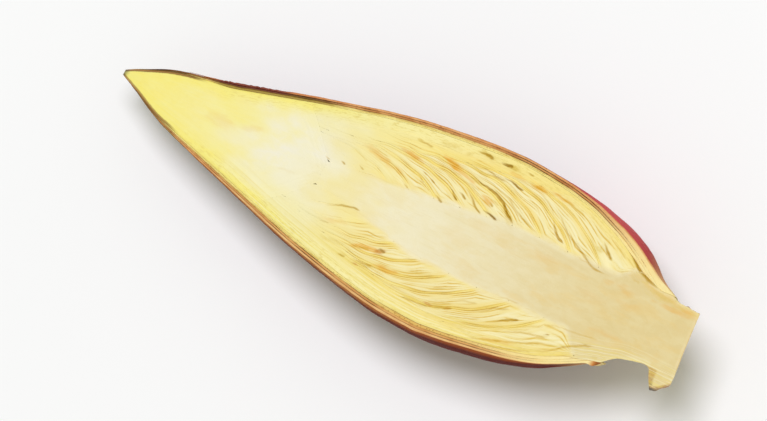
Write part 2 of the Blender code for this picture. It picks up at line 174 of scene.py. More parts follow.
# ------------------------------------------------------------------ what the knife laid open
# Slits between bracts and florets: half width, depth, darkness of the slit's golden to olive brown paint (the flesh's
# own colour there plus painted shade), tone (0 golden, 1 olive brown), then the points that each follows from its end
# at the core.
SLITS = (
    (0.77, 3.0, 0.95, 0.55, (185.9, 17.3), (183.7, 18.3), (180.5, 20.2), (177.2, 23.2), (173.6, 24.9), (168.3, 26.2), (162.5, 26.6), (155.8, 27.9)),
    (0.56, 1.0, 0.45, 0.25, (196.4, 18.5), (192.4, 19.4), (189.3, 20.6), (184.8, 22.3), (181.6, 24.0), (178.0, 26.1), (171.3, 27.8), (164.5, 29.5), (155.6, 31.7)),
    (0.65, 2.6, 0.85, 0.45, (209.2, 19.3), (206.0, 20.6), (203.3, 22.7), (201.0, 25.2), (199.1, 27.8)),
    (0.39, 0.6, 0.35, 0.20, (199.5, 27.8), (197.2, 30.3), (193.6, 32.4), (188.6, 34.1), (181.9, 35.8)),
    (0.56, 2.0, 0.65, 0.35, (232.5, 16.1), (226.9, 15.9), (223.3, 16.8), (220.2, 18.5), (216.6, 20.2), (212.5, 22.3), (208.9, 24.0), (205.3, 26.5), (202.1, 29.0), (198.5, 31.1), (194.4, 32.8)),
    (0.69, 3.0, 0.90, 0.45, (231.4, 22.2), (229.6, 23.5), (227.3, 25.2), (225.5, 26.9), (223.6, 28.6)),
    (0.39, 0.8, 0.40, 0.20, (236.5, 25.2), (232.9, 27.3), (227.1, 30.2), (223.5, 32.3), (219.9, 34.0)),
    (1.12, 3.4, 0.95, 0.50, (255.5, 20.5), (250.6, 21.8), (246.2, 23.5), (242.6, 25.2), (239.4, 27.7), (236.3, 29.8), (232.7, 31.9), (229.5, 33.6), (226.0, 35.3), (221.5, 37.0), (217.0, 38.7), (211.7, 40.2)),
    (0.39, 0.6, 0.35, 0.20, (246.8, 18.9), (243.3, 19.7), (240.2, 21.4)),
    (0.60, 2.6, 1.00, 0.95, (178.5, 15.4), (176.3, 16.0), (173.1, 16.6), (170.0, 16.9)),
    (0.52, 2.2, 0.75, 0.50, (171.0, 14.8), (167.9, 16.0), (166.0, 17.3), (163.7, 19.4), (161.0, 21.1), (158.3, 22.0)),
    (0.56, 2.2, 0.85, 0.55, (162.0, 17.3), (159.8, 18.4), (157.1, 19.4)),
    (0.47, 2.0, 0.80, 0.50, (159.0, 15.2), (156.3, 16.9), (154.0, 19.2)),
    (0.52, 2.0, 0.80, 0.55, (153.5, 11.6), (151.2, 12.7), (148.7, 13.5)),
    (0.39, 1.2, 0.45, 0.40, (142.2, 15.4), (139.4, 17.3), (136.7, 18.2)),
    (0.43, 1.2, 0.60, 0.50, (146.5, 17.7), (143.3, 18.6)),
    (0.34, 0.8, 0.45, 0.50, (141.5, 19.4), (138.8, 20.1)),
    (0.39, 1.0, 0.45, 0.30, (137.1, 10.6), (133.9, 11.8)),
    (0.39, 1.0, 0.60, 0.40, (115.8, 8.9), (113.0, 10.4)),
    (0.43, 1.2, 0.75, 0.50, (107.4, 7.6), (104.6, 8.5)),
    (0.34, 0.8, 0.45, 0.40, (100.3, 6.6), (97.5, 7.2)),
    (0.30, 0.5, 0.30, 0.20, (156.9, 14.4), (153.7, 16.0), (151.8, 17.7)),
    (0.77, 2.8, 0.85, 0.60, (164.1, 38.4), (159.7, 38.4), (155.7, 38.2)),
    (0.82, 3.0, 0.95, 0.80, (173.4, 38.6), (169.9, 38.4), (166.8, 38.2)),
    (0.47, 1.6, 0.60, 0.60, (183.1, 39.2), (179.1, 39.6)),
    (0.47, 1.4, 0.60, 0.50, (174.2, 31.6), (168.0, 32.1), (162.2, 32.9), (154.6, 32.5)),
    (0.56, 2.2, 0.90, 0.75, (182.6, 31.6), (179.9, 32.0), (175.9, 32.9), (171.0, 33.1)),
    (0.56, 1.2, 0.60, 0.50, (137.8, 31.1), (134.3, 31.1), (130.7, 30.9)),
    (0.43, 0.9, 0.50, 0.10, (191.7, 35.4), (184.1, 35.8), (177.9, 36.7)),
    (0.47, 1.0, 0.60, 0.10, (212.0, 33.8), (206.2, 34.9), (199.6, 36.2), (194.2, 36.8)),
    (0.30, 0.6, 0.40, 0.30, (176.4, 21.5), (172.9, 22.3), (168.4, 22.8)),
    (0.52, 1.2, 0.70, 0.50, (173.9, 20.0), (171.2, 21.1)),
    (0.30, 0.5, 0.35, 0.20, (165.7, 23.2), (161.3, 24.1), (155.9, 24.5)),
    (0.30, 0.5, 0.30, 0.15, (194.3, 25.3), (191.1, 27.8), (186.6, 29.9), (179.9, 31.6)),
    (0.30, 0.5, 0.30, 0.15, (222.4, 16.8), (218.0, 17.2), (214.4, 18.9)),
    (0.34, 0.6, 0.35, 0.20, (156.3, 34.6), (162.1, 34.6), (168.8, 33.8)),
    (0.30, 0.5, 0.30, 0.10, (122.9, 18.6), (117.0, 19.5), (111.6, 20.8)),
    (0.26, 0.4, 0.25, 0.20, (115.6, 12.7), (112.0, 14.0), (107.4, 15.7)),
    (0.26, 0.4, 0.25, 0.10, (133.9, 21.2), (128.5, 22.4), (123.1, 23.3)),
    (0.26, 0.4, 0.30, 0.10, (153.8, 22.4), (149.3, 23.7), (143.5, 24.9)),
    (0.30, 0.5, 0.30, 0.15, (224.3, 23.1), (220.7, 25.2), (217.5, 27.7), (212.1, 30.3)),
    (0.30, 0.6, 0.35, 0.15, (241.8, 23.5), (238.7, 25.2), (235.1, 27.3)),
    (0.52, 1.6, 0.70, 0.50, (123.7, -7.0), (120.2, -7.2), (116.6, -8.0), (113.1, -9.3), (107.9, -11.6)),
    (0.39, 0.8, 0.45, 0.25, (243.4, -9.8), (236.9, -10.9), (232.5, -11.7), (227.3, -12.2), (223.0, -13.0), (218.7, -15.1), (214.4, -17.2)),
    (0.60, 1.8, 0.70, 0.30, (243.8, -13.2), (240.6, -13.9), (237.4, -15.4), (233.6, -17.6), (230.2, -20.0), (227.4, -22.6), (223.5, -25.2), (218.0, -27.4)),
    (0.39, 0.9, 0.40, 0.20, (223.5, -25.2), (218.0, -27.7), (211.5, -30.2), (202.8, -32.7), (194.2, -34.9), (183.3, -37.0)),
    (0.47, 1.4, 0.60, 0.30, (223.7, -18.4), (220.6, -19.5), (217.6, -20.3), (213.3, -21.4), (209.0, -23.1), (204.7, -25.2), (199.5, -27.3)),
    (0.43, 1.6, 0.85, 0.70, (223.4, -17.4), (220.6, -18.2)),
    (0.65, 2.6, 0.90, 0.45, (209.1, -17.6), (205.7, -18.9), (202.7, -20.6), (199.7, -22.7), (197.2, -24.2)),
    (0.60, 1.2, 0.50, 0.30, (203.3, -15.5), (199.9, -16.4), (196.8, -17.6), (194.7, -19.3), (192.6, -21.0), (188.7, -23.1), (184.0, -24.8)),
    (0.39, 0.8, 0.40, 0.15, (219.6, -15.5), (215.3, -17.2), (211.0, -19.7), (207.6, -21.8)),
    (0.39, 0.7, 0.40, 0.30, (189.4, -19.3), (184.7, -20.6), (181.2, -21.5), (177.7, -22.9)),
    (0.34, 0.5, 0.35, 0.20, (205.3, -11.3), (201.0, -11.8), (197.5, -12.2), (193.2, -14.1)),
    (0.43, 1.0, 0.50, 0.25, (224.2, -21.0), (219.9, -23.1), (215.6, -25.2), (211.3, -26.9), (204.9, -29.4), (197.5, -31.1)),
    (0.52, 1.0, 0.55, 0.12, (207.9, -28.3), (202.7, -30.2), (198.4, -31.9), (190.6, -34.5)),
    (0.39, 0.6, 0.35, 0.40, (156.5, -14.3), (153.5, -15.6), (149.1, -16.9)),
    (0.52, 1.0, 0.80, 0.70, (156.8, -38.6), (159.9, -39.0), (153.7, -38.4)),
    (0.73, 2.8, 0.90, 0.60, (166.1, -39.2), (160.8, -39.0), (154.6, -38.4)),
    (0.43, 0.9, 0.60, 0.50, (127.9, -27.0), (123.4, -27.7)),
    (0.39, 0.8, 0.40, 0.20, (237.3, -20.9), (232.2, -23.0), (227.1, -26.0), (221.9, -28.1)),
    (0.43, 1.0, 0.50, 0.20, (231.0, -26.0), (224.6, -28.5), (218.1, -30.6), (209.4, -32.7)),
    (0.30, 0.5, 0.35, 0.15, (215.3, -18.5), (211.1, -21.0), (206.8, -23.1), (202.5, -25.2)),
    (0.34, 0.6, 0.35, 0.20, (193.6, -24.4), (188.5, -26.5), (182.8, -27.8)),
    (0.34, 0.5, 0.30, 0.20, (140.0, -11.8), (134.7, -13.5), (129.1, -15.6), (122.4, -16.9)),
    (0.26, 0.4, 0.25, 0.20, (118.7, -13.1), (113.4, -14.4), (108.1, -15.7)),
    (0.34, 0.5, 0.35, 0.40, (114.4, -17.4), (109.2, -18.6)),
    (0.30, 0.4, 0.30, 0.20, (186.6, -16.0), (182.3, -18.1), (178.0, -19.8)),
    (0.30, 0.5, 0.30, 0.20, (174.0, -19.8), (169.7, -21.9), (163.6, -24.0), (156.2, -25.3)),
    (0.34, 0.5, 0.35, 0.20, (180.4, -24.0), (175.2, -26.1), (169.6, -27.8), (160.8, -29.5)),
    (0.47, 0.8, 0.45, 0.40, (171.9, -29.9), (165.3, -30.7), (156.5, -31.6)),
    (0.52, 0.8, 0.50, 0.30, (180.5, -26.1), (177.1, -27.4), (174.4, -28.2)),
    (0.26, 0.3, 0.25, 0.20, (210.6, -11.3), (207.6, -12.2)),
    (0.43, 0.7, 0.45, 0.30, (140.7, -25.3), (135.4, -26.2), (129.6, -26.2)),
    (0.69, 1.0, 0.80, 0.85, (142.5, -18.2), (139.8, -17.7), (138.5, -18.6)),
    (0.56, 0.8, 0.55, 0.20, (135.9, -19.9), (131.5, -20.5), (127.1, -21.8)),
)
# Stained patches: centre, half length, half width, angle, strength, tone (0 orange, 1 olive yellow, 2 brown).
STAINS = (
    (131.5, 24.1, 6.2, 1.3, -8, 0.80, 0),
    (150.4, 28.3, 7.0, 1.6, -14, 0.95, 0),
    (170.7, 21.1, 3.5, 1.9, -20, 0.65, 0),
    (188.6, 35.8, 6.2, 1.3, -4, 0.85, 0),
    (199.6, 36.2, 5.3, 0.8, -8, 0.85, 0),
    (119.4, 17.4, 8.8, 1.7, -14, 0.50, 0),
    (129.7, 15.7, 3.5, 1.3, -20, 0.30, 0),
    (173.8, 38.4, 4.4, 1.3, -3, 0.75, 1),
    (160.6, 38.4, 4.8, 1.2, 0, 0.70, 1),
    (153.2, 35.5, 2.2, 1.1, 10, 0.50, 1),
    (144.3, 35.1, 5.3, 1.5, 5, 0.40, 1),
    (131.6, 31.1, 2.2, 0.8, 0, 0.70, 1),
    (224.3, 24.4, 2.6, 2.1, 40, 0.45, 1),
    (176.6, 36.3, 4.4, 0.9, -5, 0.45, 0),
    (155.8, 26.6, 8.8, 1.0, -14, 0.60, 0),
    (182.8, 17.3, 3.5, 1.3, -30, 0.30, 1),
    (133.7, -19.9, 7.0, 1.5, 12, 0.85, 0),
    (140.3, -18.4, 2.6, 1.4, 8, 0.90, 2),
    (136.3, -26.8, 5.7, 1.1, 3, 0.50, 1),
    (133.2, -27.9, 1.8, 0.8, 0, 0.60, 2),
    (146.4, -24.3, 6.2, 1.4, 4, 0.70, 0),
    (125.6, -27.1, 2.6, 0.8, 12, 0.50, 1),
    (175.3, -28.0, 4.8, 1.1, 18, 0.60, 1),
    (170.1, -29.1, 2.2, 0.8, 0, 0.55, 2),
    (178.4, -26.9, 1.8, 0.7, 20, 0.60, 2),
    (159.9, -38.8, 4.4, 1.0, -4, 0.85, 1),
    (167.0, -38.9, 4.0, 1.1, 0, 0.60, 1),
    (161.8, -30.8, 3.5, 0.8, 0, 0.40, 1),
    (204.9, -29.4, 9.7, 1.0, 18, 0.40, 0),
    (211.6, -31.5, 8.8, 1.0, 16, 0.35, 0),
    (119.2, -23.7, 7.0, 1.3, 2, 0.30, 1),
    (115.7, -15.7, 6.2, 1.3, 14, 0.25, 0),
    (160.3, -19.0, 6.2, 1.7, 10, 0.25, 1),
    (242.2, 14.2, 5.3, 1.7, -12, 0.30, 0),
    (234.8, 13.8, 3.1, 1.3, 20, 0.30, 0),
    (266.2, 15.5, 9.7, 1.3, 2, 0.45, 0),
    (259.5, 18.4, 8.8, 1.3, -6, 0.35, 1),
    (272.6, 16.7, 4.4, 1.7, 0, 0.35, 0),
    (244.5, -6.3, 7.9, 1.3, 5, 0.25, 0),
    (48.9, 0.4, 7.9, 3.4, 0, 0.18, 0),
    (63.2, 3.4, 6.2, 1.7, 20, 0.16, 0),
    (86.1, -5.9, 5.3, 0.8, 8, 0.15, 1),
    (229.6, 5.0, 8.8, 2.5, 0, 0.12, 0),
    (246.9, 8.4, 6.2, 2.5, 10, 0.15, 0),
    (205.2, 10.5, 6.2, 2.1, 4, 0.12, 0),
)
# Florets cut along their fattest part, which stand a little proud: centre, half length, half width, angle, height.
LENSES = (
    (208.7, 29.9, 15.0, 2.7, -20, 0.9),
    (186.9, 24.4, 9.7, 2.5, -26, 0.8),
    (207.5, 25.6, 6.2, 2.1, -38, 0.7),
    (199.5, 37.0, 10.6, 0.9, -8, 0.3),
    (174.4, 27.8, 10.6, 1.3, -10, 0.5),
    (226.6, 21.0, 7.9, 2.1, -32, 0.6),
    (237.5, 21.8, 6.2, 2.1, -30, 0.5),
    (219.2, -25.2, 8.8, 1.3, 20, 0.5),
    (226.3, -19.7, 7.9, 1.7, 26, 0.6),
    (202.3, -21.0, 8.8, 1.4, 24, 0.5),
    (189.3, -26.1, 10.6, 1.4, 16, 0.4),
    (232.7, -15.1, 7.0, 1.7, 18, 0.5),
    (214.3, -15.9, 6.2, 1.3, 20, 0.4),
    (173.6, -18.9, 10.6, 1.7, 14, 0.3),
    (151.7, 19.9, 7.9, 1.3, -14, 0.3),
    (133.5, 27.9, 11.4, 1.3, -4, 0.3),
    (178.7, -33.7, 15.8, 1.0, 6, 0.3),
)

knife = ripples(3, 14.0, 60.0, 10)
grain = ripples(4, 2.2, 8.0, 22, 2.5)
ragged = ripples(5, 2.0, 6.0, 24, 1.6)


def spline(points, step):
    """Points at about one step from each other on a smooth curve through the given ones."""
    p = np.array(points, float)
    p = np.vstack((2 * p[0] - p[1], p, 2 * p[-1] - p[-2]))
    out = []
    for i in range(1, len(p) - 2):
        n = max(2, int(np.linalg.norm(p[i + 1] - p[i]) / step))
        t = np.arange(n)[:, None] / n
        out.append(0.5 * (2 * p[i] + (p[i + 1] - p[i - 1]) * t + (2 * p[i - 1] - 5 * p[i] + 4 * p[i + 1] - p[i + 2]) * t**2
                          + (3 * p[i] - p[i - 1] - 3 * p[i + 1] + p[i + 2]) * t**3))
    out.append(p[-2][None])
    return np.vstack(out)


def cut_fields(u, v):
    """Relief of the cut face in mm, and the masks of its colours, at arrays of u and v."""
    shape = np.shape(u)
    u, v = np.ravel(u).astype(float), np.ravel(v).astype(float)
    relief = np.zeros(u.size)
    slit, tone, weight = np.zeros(u.size), np.zeros(u.size), np.full(u.size, 1e-6)
    pale = np.zeros(u.size)
    for cu, cv, half_u, half_v, angle, high in LENSES:
        c, s = math.cos(math.radians(angle)), math.sin(math.radians(angle))
        x, y = (u - cu) * c + (v - cv) * s, -(u - cu) * s + (v - cv) * c
        r = (x / half_u) ** 2 + (y / half_v) ** 2
        bulge = np.clip(1 - r, 0, 1)
        relief += 0.45 * high * bulge**1.2
        pale = np.maximum(pale, high * np.clip(1.3 * bulge, 0, 1))
    wobble_u, wobble_v = 0.12 * ragged(u, v), 0.12 * ragged(v + 40, u)
    for wide, deep, dark, brown, *points in SLITS:
        line = spline(points, 0.8)
        near = ((u > line[:, 0].min() - 3) & (u < line[:, 0].max() + 3)
                & (v > line[:, 1].min() - 3) & (v < line[:, 1].max() + 3))
        if not near.any():
            continue
        at = np.stack((u[near] + wobble_u[near], v[near] + wobble_v[near]), 1)
        best, share = np.full(len(at), 1e9), np.zeros(len(at))
        for i in range(len(line) - 1):
            a, b = line[i], line[i + 1]
            t = np.clip(((at - a) @ (b - a)) / max(1e-9, (b - a) @ (b - a)), 0, 1)
            far = np.linalg.norm(at - a - t[:, None] * (b - a), axis=1)
            closer = far < best
            best[closer], share[closer] = far[closer], (i + t[closer]) / (len(line) - 1)
        open_here = smooth(0, 0.14, share) * (1 - smooth(0.35, 1.0, share)) ** 0.8
        half = 0.82 * wide * (0.35 + 0.65 * open_here)
        relief[near] -= 0.17 * deep * open_here * (1 - smooth(0.15 * half, 1.05 * half, best))
        # how strongly the slit is painted golden to olive brown: the flesh's own colour there plus painted shade
        shade = dark * (0.25 + 0.75 * open_here) * smooth(0, 0.05, share) * (1 - smooth(0.85, 1.0, share)) * (1 - smooth(0.3 * half, 1.5 * half, best))
        slit[near] = np.maximum(slit[near], shade)
        tone[near] += brown * shade
        weight[near] += shade
    stains = [np.zeros(u.size) for _ in range(3)]
    for cu, cv, half_u, half_v, angle, strength, kind in STAINS:
        c, s = math.cos(math.radians(angle)), math.sin(math.radians(angle))
        x, y = (u - cu) * c + (v - cv) * s, -(u - cu) * s + (v - cv) * c
        r = np.sqrt((x / half_u) ** 2 + (y / half_v) ** 2)
        patch = strength * (1 - smooth(0.25, 1.25, r + 0.22 * ragged(u, 1.7 * v)))
        stains[kind] = np.maximum(stains[kind], patch)
    relief += 0.10 * knife(u, v) + 0.035 * grain(u, v)
    made = {"slit": slit, "tone": tone / weight, "pale": pale,
            "orange": stains[0], "olive": stains[1], "brown": stains[2]}
    return relief.reshape(shape), {k: x.reshape(shape) for k, x in made.items()}


# ------------------------------------------------------------------ rind, core and layers in the section
SKIN = (0.98, 0.95, 1.25)      # thickness of each rind bract, from the outside in
SEAM = 0.07                    # hairline between two of them
TIPS = {1: (25.6, 8.6, 0.9), -1: (21.5, 6.0, 0.9)}
BASES = {1: (263.0, 257.0, 251.5), -1: (249.0, 244.5, 239.5)}


def base_of(level, phi):
    """Where a rind bract joins the stem, seen round the axis from the upper side to the lower."""
    share = smooth(0.25 * math.pi, 0.85 * math.pi, phi)
    notch = smooth(0.52 * math.pi, 0.66 * math.pi, phi) * (1 - smooth(0.89 * math.pi, 0.97 * math.pi, phi))
    return BASES[1][level] + (BASES[-1][level] - BASES[1][level]) * share - 5.0 * notch


def tip_of(level, phi):
    share = smooth(0.1 * math.pi, 0.9 * math.pi, phi)
    return TIPS[1][level] + (TIPS[-1][level] - TIPS[1][level]) * share


def thickness(level, u, phi):
    """A rind bract's thickness, which thins out at its tip, at the bud's point and at its base."""
    upper = 1 - smooth(0.15 * math.pi, 0.75 * math.pi, phi)
    slim = ((0.24 + 0.30 * smooth(4.0, 50.0, u) + 0.46 * smooth(30.0, 125.0, u)) * (1 - upper)
            + (0.24 + 0.22 * smooth(4.0, 30.0, u) + 0.36 * smooth(33.0, 48.0, u) + 0.18 * smooth(60.0, 150.0, u)) * upper)
    tip = smooth(-0.5, 9.0, u - tip_of(level, phi))
    base = smooth(-0.5, 7.0, base_of(level, phi) - u)
    thick = SKIN[level] * slim
    if level == 0:
        thick = thick + 1.5 * smooth(205.0, 240.0, u) * (1 - smooth(0.1 * math.pi, 0.5 * math.pi, phi))
    return thick * tip * base


def depth_of(level, u, phi):
    """Depth of a rind bract's outer face under the outline. Level 3 gives the flesh."""
    total = 0.0
    for above in range(level):
        t = thickness(above, u, phi)
        total = total + t + SEAM * np.clip(t / 0.5, 0, 1)
    return total


def side_phi(side):
    return -BETA if side > 0 else math.pi + BETA


def flesh_edge(side, u):
    """Half width of everything inside the rind, at the cut face."""
    u = np.asarray(u, float)
    return np.maximum(0.25, outline[side](u) - depth_of(3, u, side_phi(side)) * slant(side, u))


def flare(u, phi):
    """How far the core has widened, from 0 to 1, to meet the bases of the bracts."""
    share = smooth(0.25 * math.pi, 0.85 * math.pi, phi)
    last = JOINTS[1][-1] + (JOINTS[-1][-1] - JOINTS[1][-1]) * share
    base = base_of(0, phi)
    return smooth(last - 13.0, last, u) * (1 - smooth(base - 1.5, base + 3.5, u))


def core_edge(side, u):
    """Half width of the core at the cut face. It widens to meet the bracts' bases."""
    u = np.asarray(u, float)
    wide = flare(u, side_phi(side))
    inner = core_cad[side](u)
    return inner * (1 - wide) + np.maximum(flesh_edge(side, u), inner) * wide


def core_point(u, phi):
    """A point on the core's underside."""
    v, w = arc(core_cad[1](u), core_cad[-1](u), phi, 1.0)
    rv, rw = rind_arc(u, depth_of(3, u, phi), phi)
    wide = flare(u, phi)
    return v * (1 - wide) + rv * wide, w * (1 - wide) + rw * wide


def rise(t):
    return 22.0 * (1 - np.exp(-t / 22.0)) + 0.20 * t


drift = {(side, k): waves(100 + 20 * (side > 0) + k, 9.0, 40.0) for side in (1, -1) for k in range(14)}


def layer_line(side, k, u):
    """Share from core (0) to rind (1) of the line between two layers, the one that joins the core at JOINTS[side][k]."""
    joint, last = JOINTS[side][k], JOINTS[side][-1]
    u = np.asarray(u, float)
    share = np.where(u >= joint, 0.0, rise(np.maximum(0.0, joint - u)) / rise(np.maximum(1e-6, last - u)))
    if k == len(JOINTS[side]) - 1:
        return np.where(u >= joint, 0.0, 1.0)
    calm = smooth(0, 12, joint - u) * (1 - smooth(0.80, 1.0, share)) * smooth(84, 110, u)
    return np.clip(share + 0.013 * calm * drift[side, k](u), 0.0, 1.0)


def shoulder(side, u):
    """Share at which the heart's shoulder lies, from 1 where it leaves the rind to 0 at the core."""
    u = np.asarray(u, float)
    return np.where(u < HEART_SHOULDER, 1.5, np.clip((HEART_END - u) / (HEART_END - HEART_SHOULDER), 0, 1))


def at_share(side, u, share, turn):
    """A point between core and rind. turn goes from 0 at the cut face to 1 at the keel, on that side."""
    phi = -BETA + (math.pi / 2 + BETA) * np.asarray(turn, float)
    if side < 0:
        phi = math.pi - phi
    cv, cw = core_point(u, phi)
    d = depth_of(3, u, phi)
    rv, rw = rind_arc(u, d, phi)
    return cv * (1 - share) + rv * share, cw * (1 - share) + rw * share


# ------------------------------------------------------------------ meshes
def mesh_piece(name, points, faces, slots, materials, attributes=None, sharp=38.0):
    """A piece from points in the section frame and faces as rows of 4 indices (the last repeated for a triangle) or longer lists."""
    corners, starts, totals = [], [], []
    count = 0
    for block in faces:
        block = np.asarray(block)
        corners.append(block.ravel())
        starts.append(count + np.arange(len(block)) * block.shape[1])
        totals.append(np.full(len(block), block.shape[1]))
        count += block.size
    corners, starts, totals = (np.concatenate(x) for x in (corners, starts, totals))
    mesh = bpy.data.meshes.new(name)
    mesh.vertices.add(len(points))
    placed = to_world(points)
    placed[:, 2] = np.maximum(placed[:, 2], 0.00002)      # the belly is pressed flat where it meets the table
    mesh.vertices.foreach_set("co", placed.astype(np.float32).ravel())
    mesh.loops.add(len(corners))
    mesh.loops.foreach_set("vertex_index", corners.astype(np.int32))
    mesh.polygons.add(len(starts))
    mesh.polygons.foreach_set("loop_start", starts.astype(np.int32))
    mesh.polygons.foreach_set("material_index", np.concatenate(slots).astype(np.int32))
    mesh.update(calc_edges=True)
    mesh.validate()
    for m in materials:
        mesh.materials.append(m)
    section = mesh.attributes.new("section", "FLOAT_VECTOR", "POINT")
    section.data.foreach_set("vector", np.asarray(points, np.float32).ravel())
    for key, values in (attributes or {}).items():
        values = np.asarray(values, np.float32)
        kind = "FLOAT_VECTOR" if values.ndim == 2 else "FLOAT"
        made = mesh.attributes.new(key, kind, "POINT")
        made.data.foreach_set("vector" if values.ndim == 2 else "value", values.ravel())
    mesh.shade_smooth()
    mesh.set_sharp_from_angle(angle=math.radians(sharp))
    made = bpy.data.objects.new(name, mesh)
    bpy.context.scene.collection.objects.link(made)
    return made


def loft(name, rings, column_slot, materials, attributes, cap_slots=(0, 0), sharp=38.0, caps=None):
    """A closed solid through rings (n, m, 3). column_slot gives the material of each strip between columns.
    caps lists the polygons that close an end ring, for a ring too hollow to close with a single one."""
    n, m, _ = rings.shape
    index = np.arange(n * m).reshape(n, m)
    nxt = np.roll(index, -1, axis=1)
    quads = np.stack((index[:-1], index[1:], nxt[1:], nxt[:-1]), -1).reshape(-1, 4)
    # signed volume decides which way the faces look
    p = rings.reshape(-1, 3)
    a, b, c, d = (p[quads[:, i]] for i in range(4))
    volume = (np.cross(a, b) * c).sum() + (np.cross(a, c) * d).sum()
    blocks, slots = [quads], [np.tile(np.asarray(column_slot), n - 1)]
    for polygon in caps or [list(range(m))]:
        blocks += [index[0][polygon][None, :], index[-1][polygon[::-1]][None, :]]
        slots += [np.array([cap_slots[0]]), np.array([cap_slots[1]])]
    if volume < 0:
        blocks = [x[:, ::-1] for x in blocks]
    flat = {k: (x.reshape(-1, 3) if x.ndim == 3 else x.reshape(-1)) for k, x in attributes.items()}
    return mesh_piece(name, p, blocks, slots, materials, flat, sharp)


def hollow_caps(m, first, pairs):
    """Polygons closing a ring of m points that starts with a run of first points and then comes back along itself:
    the run's ends join the two sides, which face each other in pairs."""
    polygons = [list(range(first)) + [first, m - 1]]
    for i in range(pairs - 1):
        polygons.append([first + i, first + i + 1, m - 2 - i, m - 1 - i])
    return polygons


def face_columns(width, count):
    """Places across a strip's cut face, with two close to each edge for its rounding."""
    a, b = np.minimum(0.20, 0.14 * width), np.minimum(0.52, 0.33 * width)
    inner = np.linspace(0, 1, count + 1)
    rows = [np.zeros_like(width), a] + [b + (width - 2 * b) * t for t in inner] + [width - a, width]
    return np.stack(rows, 1)


DROP = np.array([1.0, 0.40, 0.0])


def edge_drop(count, outer, inner):
    """How far the rounding lowers each of those places. outer and inner are strengths along the strip."""
    n = count + 5
    left, right = np.zeros(n), np.zeros(n)
    left[:3] = DROP
    right[-3:] = DROP[::-1]
    return outer[:, None] * left + inner[:, None] * right


# ------------------------------------------------------------------ colour masks of the cut face
cloud = ripples(11, 6.0, 28.0, 14, 1.8)
fibre = ripples(12, 2.0, 9.0, 22, 6.0)


def streamline(side, u, share):
    """Where the layer through this point joins the core, which is the same all along a layer."""
    last = JOINTS[side][-1]
    target = share * rise(np.maximum(0.5, last - u))
    low, high = np.zeros_like(target), np.full_like(target, 260.0)
    for _ in range(26):
        middle = (low + high) / 2
        over = rise(middle) > target
        high, low = np.where(over, middle, high), np.where(over, low, middle)
    return u + low


def masks(u, v):
    """Where the flesh is lemon yellow, where it is core, and how far from the rind it lies."""
    up, down = flesh_edge(1, u), flesh_edge(-1, u)
    rim = np.minimum(up - v, v + down)
    inside = np.minimum(core_edge(1, u) - v, v + core_edge(-1, u))
    c = cloud(u, v)
    along = smooth(88, 42, u + 6 * c) * (0.64 + 0.20 * smooth(40, 16, u))
    beside = 0.42 * smooth(19, 5, rim + 2.5 * c) + 0.50 * smooth(6.5, 1.0, rim + 0.8 * c)
    yellow = 1 - (1 - along) * (1 - beside * smooth(182, 96, u))
    yellow = np.maximum(yellow, 0.50 * smooth(5.0, 0.8, rim) * smooth(236, 150, u))
    core = smooth(-2.5, 2.5, inside + 0.8 * fibre(u, v)) * smooth(100, 165, u + 5 * c)
    layer = smooth(84, 118, u + 6 * c) * (1 - core)
    return {"yellow": yellow, "core": core, "layer": layer, "rim": rim}


def flesh_attributes(points, count, lay=None, base_slit=0.0):
    """Vertex values for a lofted flesh piece whose first count columns are its cut face."""
    u, v, w = points[..., 0], points[..., 1], points[..., 2]
    n, m = u.shape
    relief, found = cut_fields(u[:, :count], v[:, :count])
    out = {}
    for key, values in found.items():
        full = np.zeros((n, m))
        full[:, :count] = values
        out[key] = full
    for key, values in masks(u, v).items():
        out[key] = values
    # how far below the cut plane a point lies; the flesh material paints deeper surfaces darker golden as shade in the
    # gaps
    out["deep"] = smooth(0.25, 4.5, -w)
    flow = np.zeros((n, m, 3))
    if lay is None:
        flow[..., 0], flow[..., 1], flow[..., 2] = u, v, w
    else:
        flow[..., 0], flow[..., 1], flow[..., 2] = u, lay, w
    out["flow"] = flow
    return relief, out


# ------------------------------------------------------------------ bracts and florets inside
FLORET_REACH = 46.0
WALL = np.array([0.15, 0.27, 0.40, 0.55, 0.70, 0.85, 0.985])


def ribbons(seed, x, u, breadth):
    """Folds that run the whole length of a layer, x being 0 to 1 across it: a rounded back for each, from about -1 in
    the valleys to 0.7 on the backs. The valleys fade in and out along the way."""
    rng = np.random.default_rng(seed)
    count = int(np.clip(round(breadth / 1.55), 1, 6))
    cuts = (np.arange(count + 1) + np.concatenate(([0.0], rng.uniform(-0.22, 0.22, count - 1), [0.0]))) / count
    tone = rng.uniform(-0.22, 0.25, count)
    sway = waves(seed + 7000, 16.0, 50.0)(u)[:, None] * 0.10
    x = np.clip(x + 4 * x * (1 - x) * sway, 0.0, 1.0)
    which = np.clip(np.searchsorted(cuts, x, side="right") - 1, 0, count - 1)
    t = (x - cuts[which]) / (cuts[which + 1] - cuts[which])
    deep = np.stack([np.clip(0.62 + 0.75 * waves(seed + 7100 + i, 12.0, 46.0)(u), 0.06, 1.15) for i in range(count + 1)], -1)
    deep[:, 0] *= 0.5
    deep[:, -1] *= 0.5
    rows = np.arange(len(u))[:, None]
    level = deep[rows, which] * np.clip(1 - 2 * t, 0, 1) ** 2.2 + deep[rows, which + 1] * np.clip(2 * t - 1, 0, 1) ** 2.2
    return 0.42 + tone[which] * (1 - np.abs(2 * t - 1) ** 3) - 1.42 * level


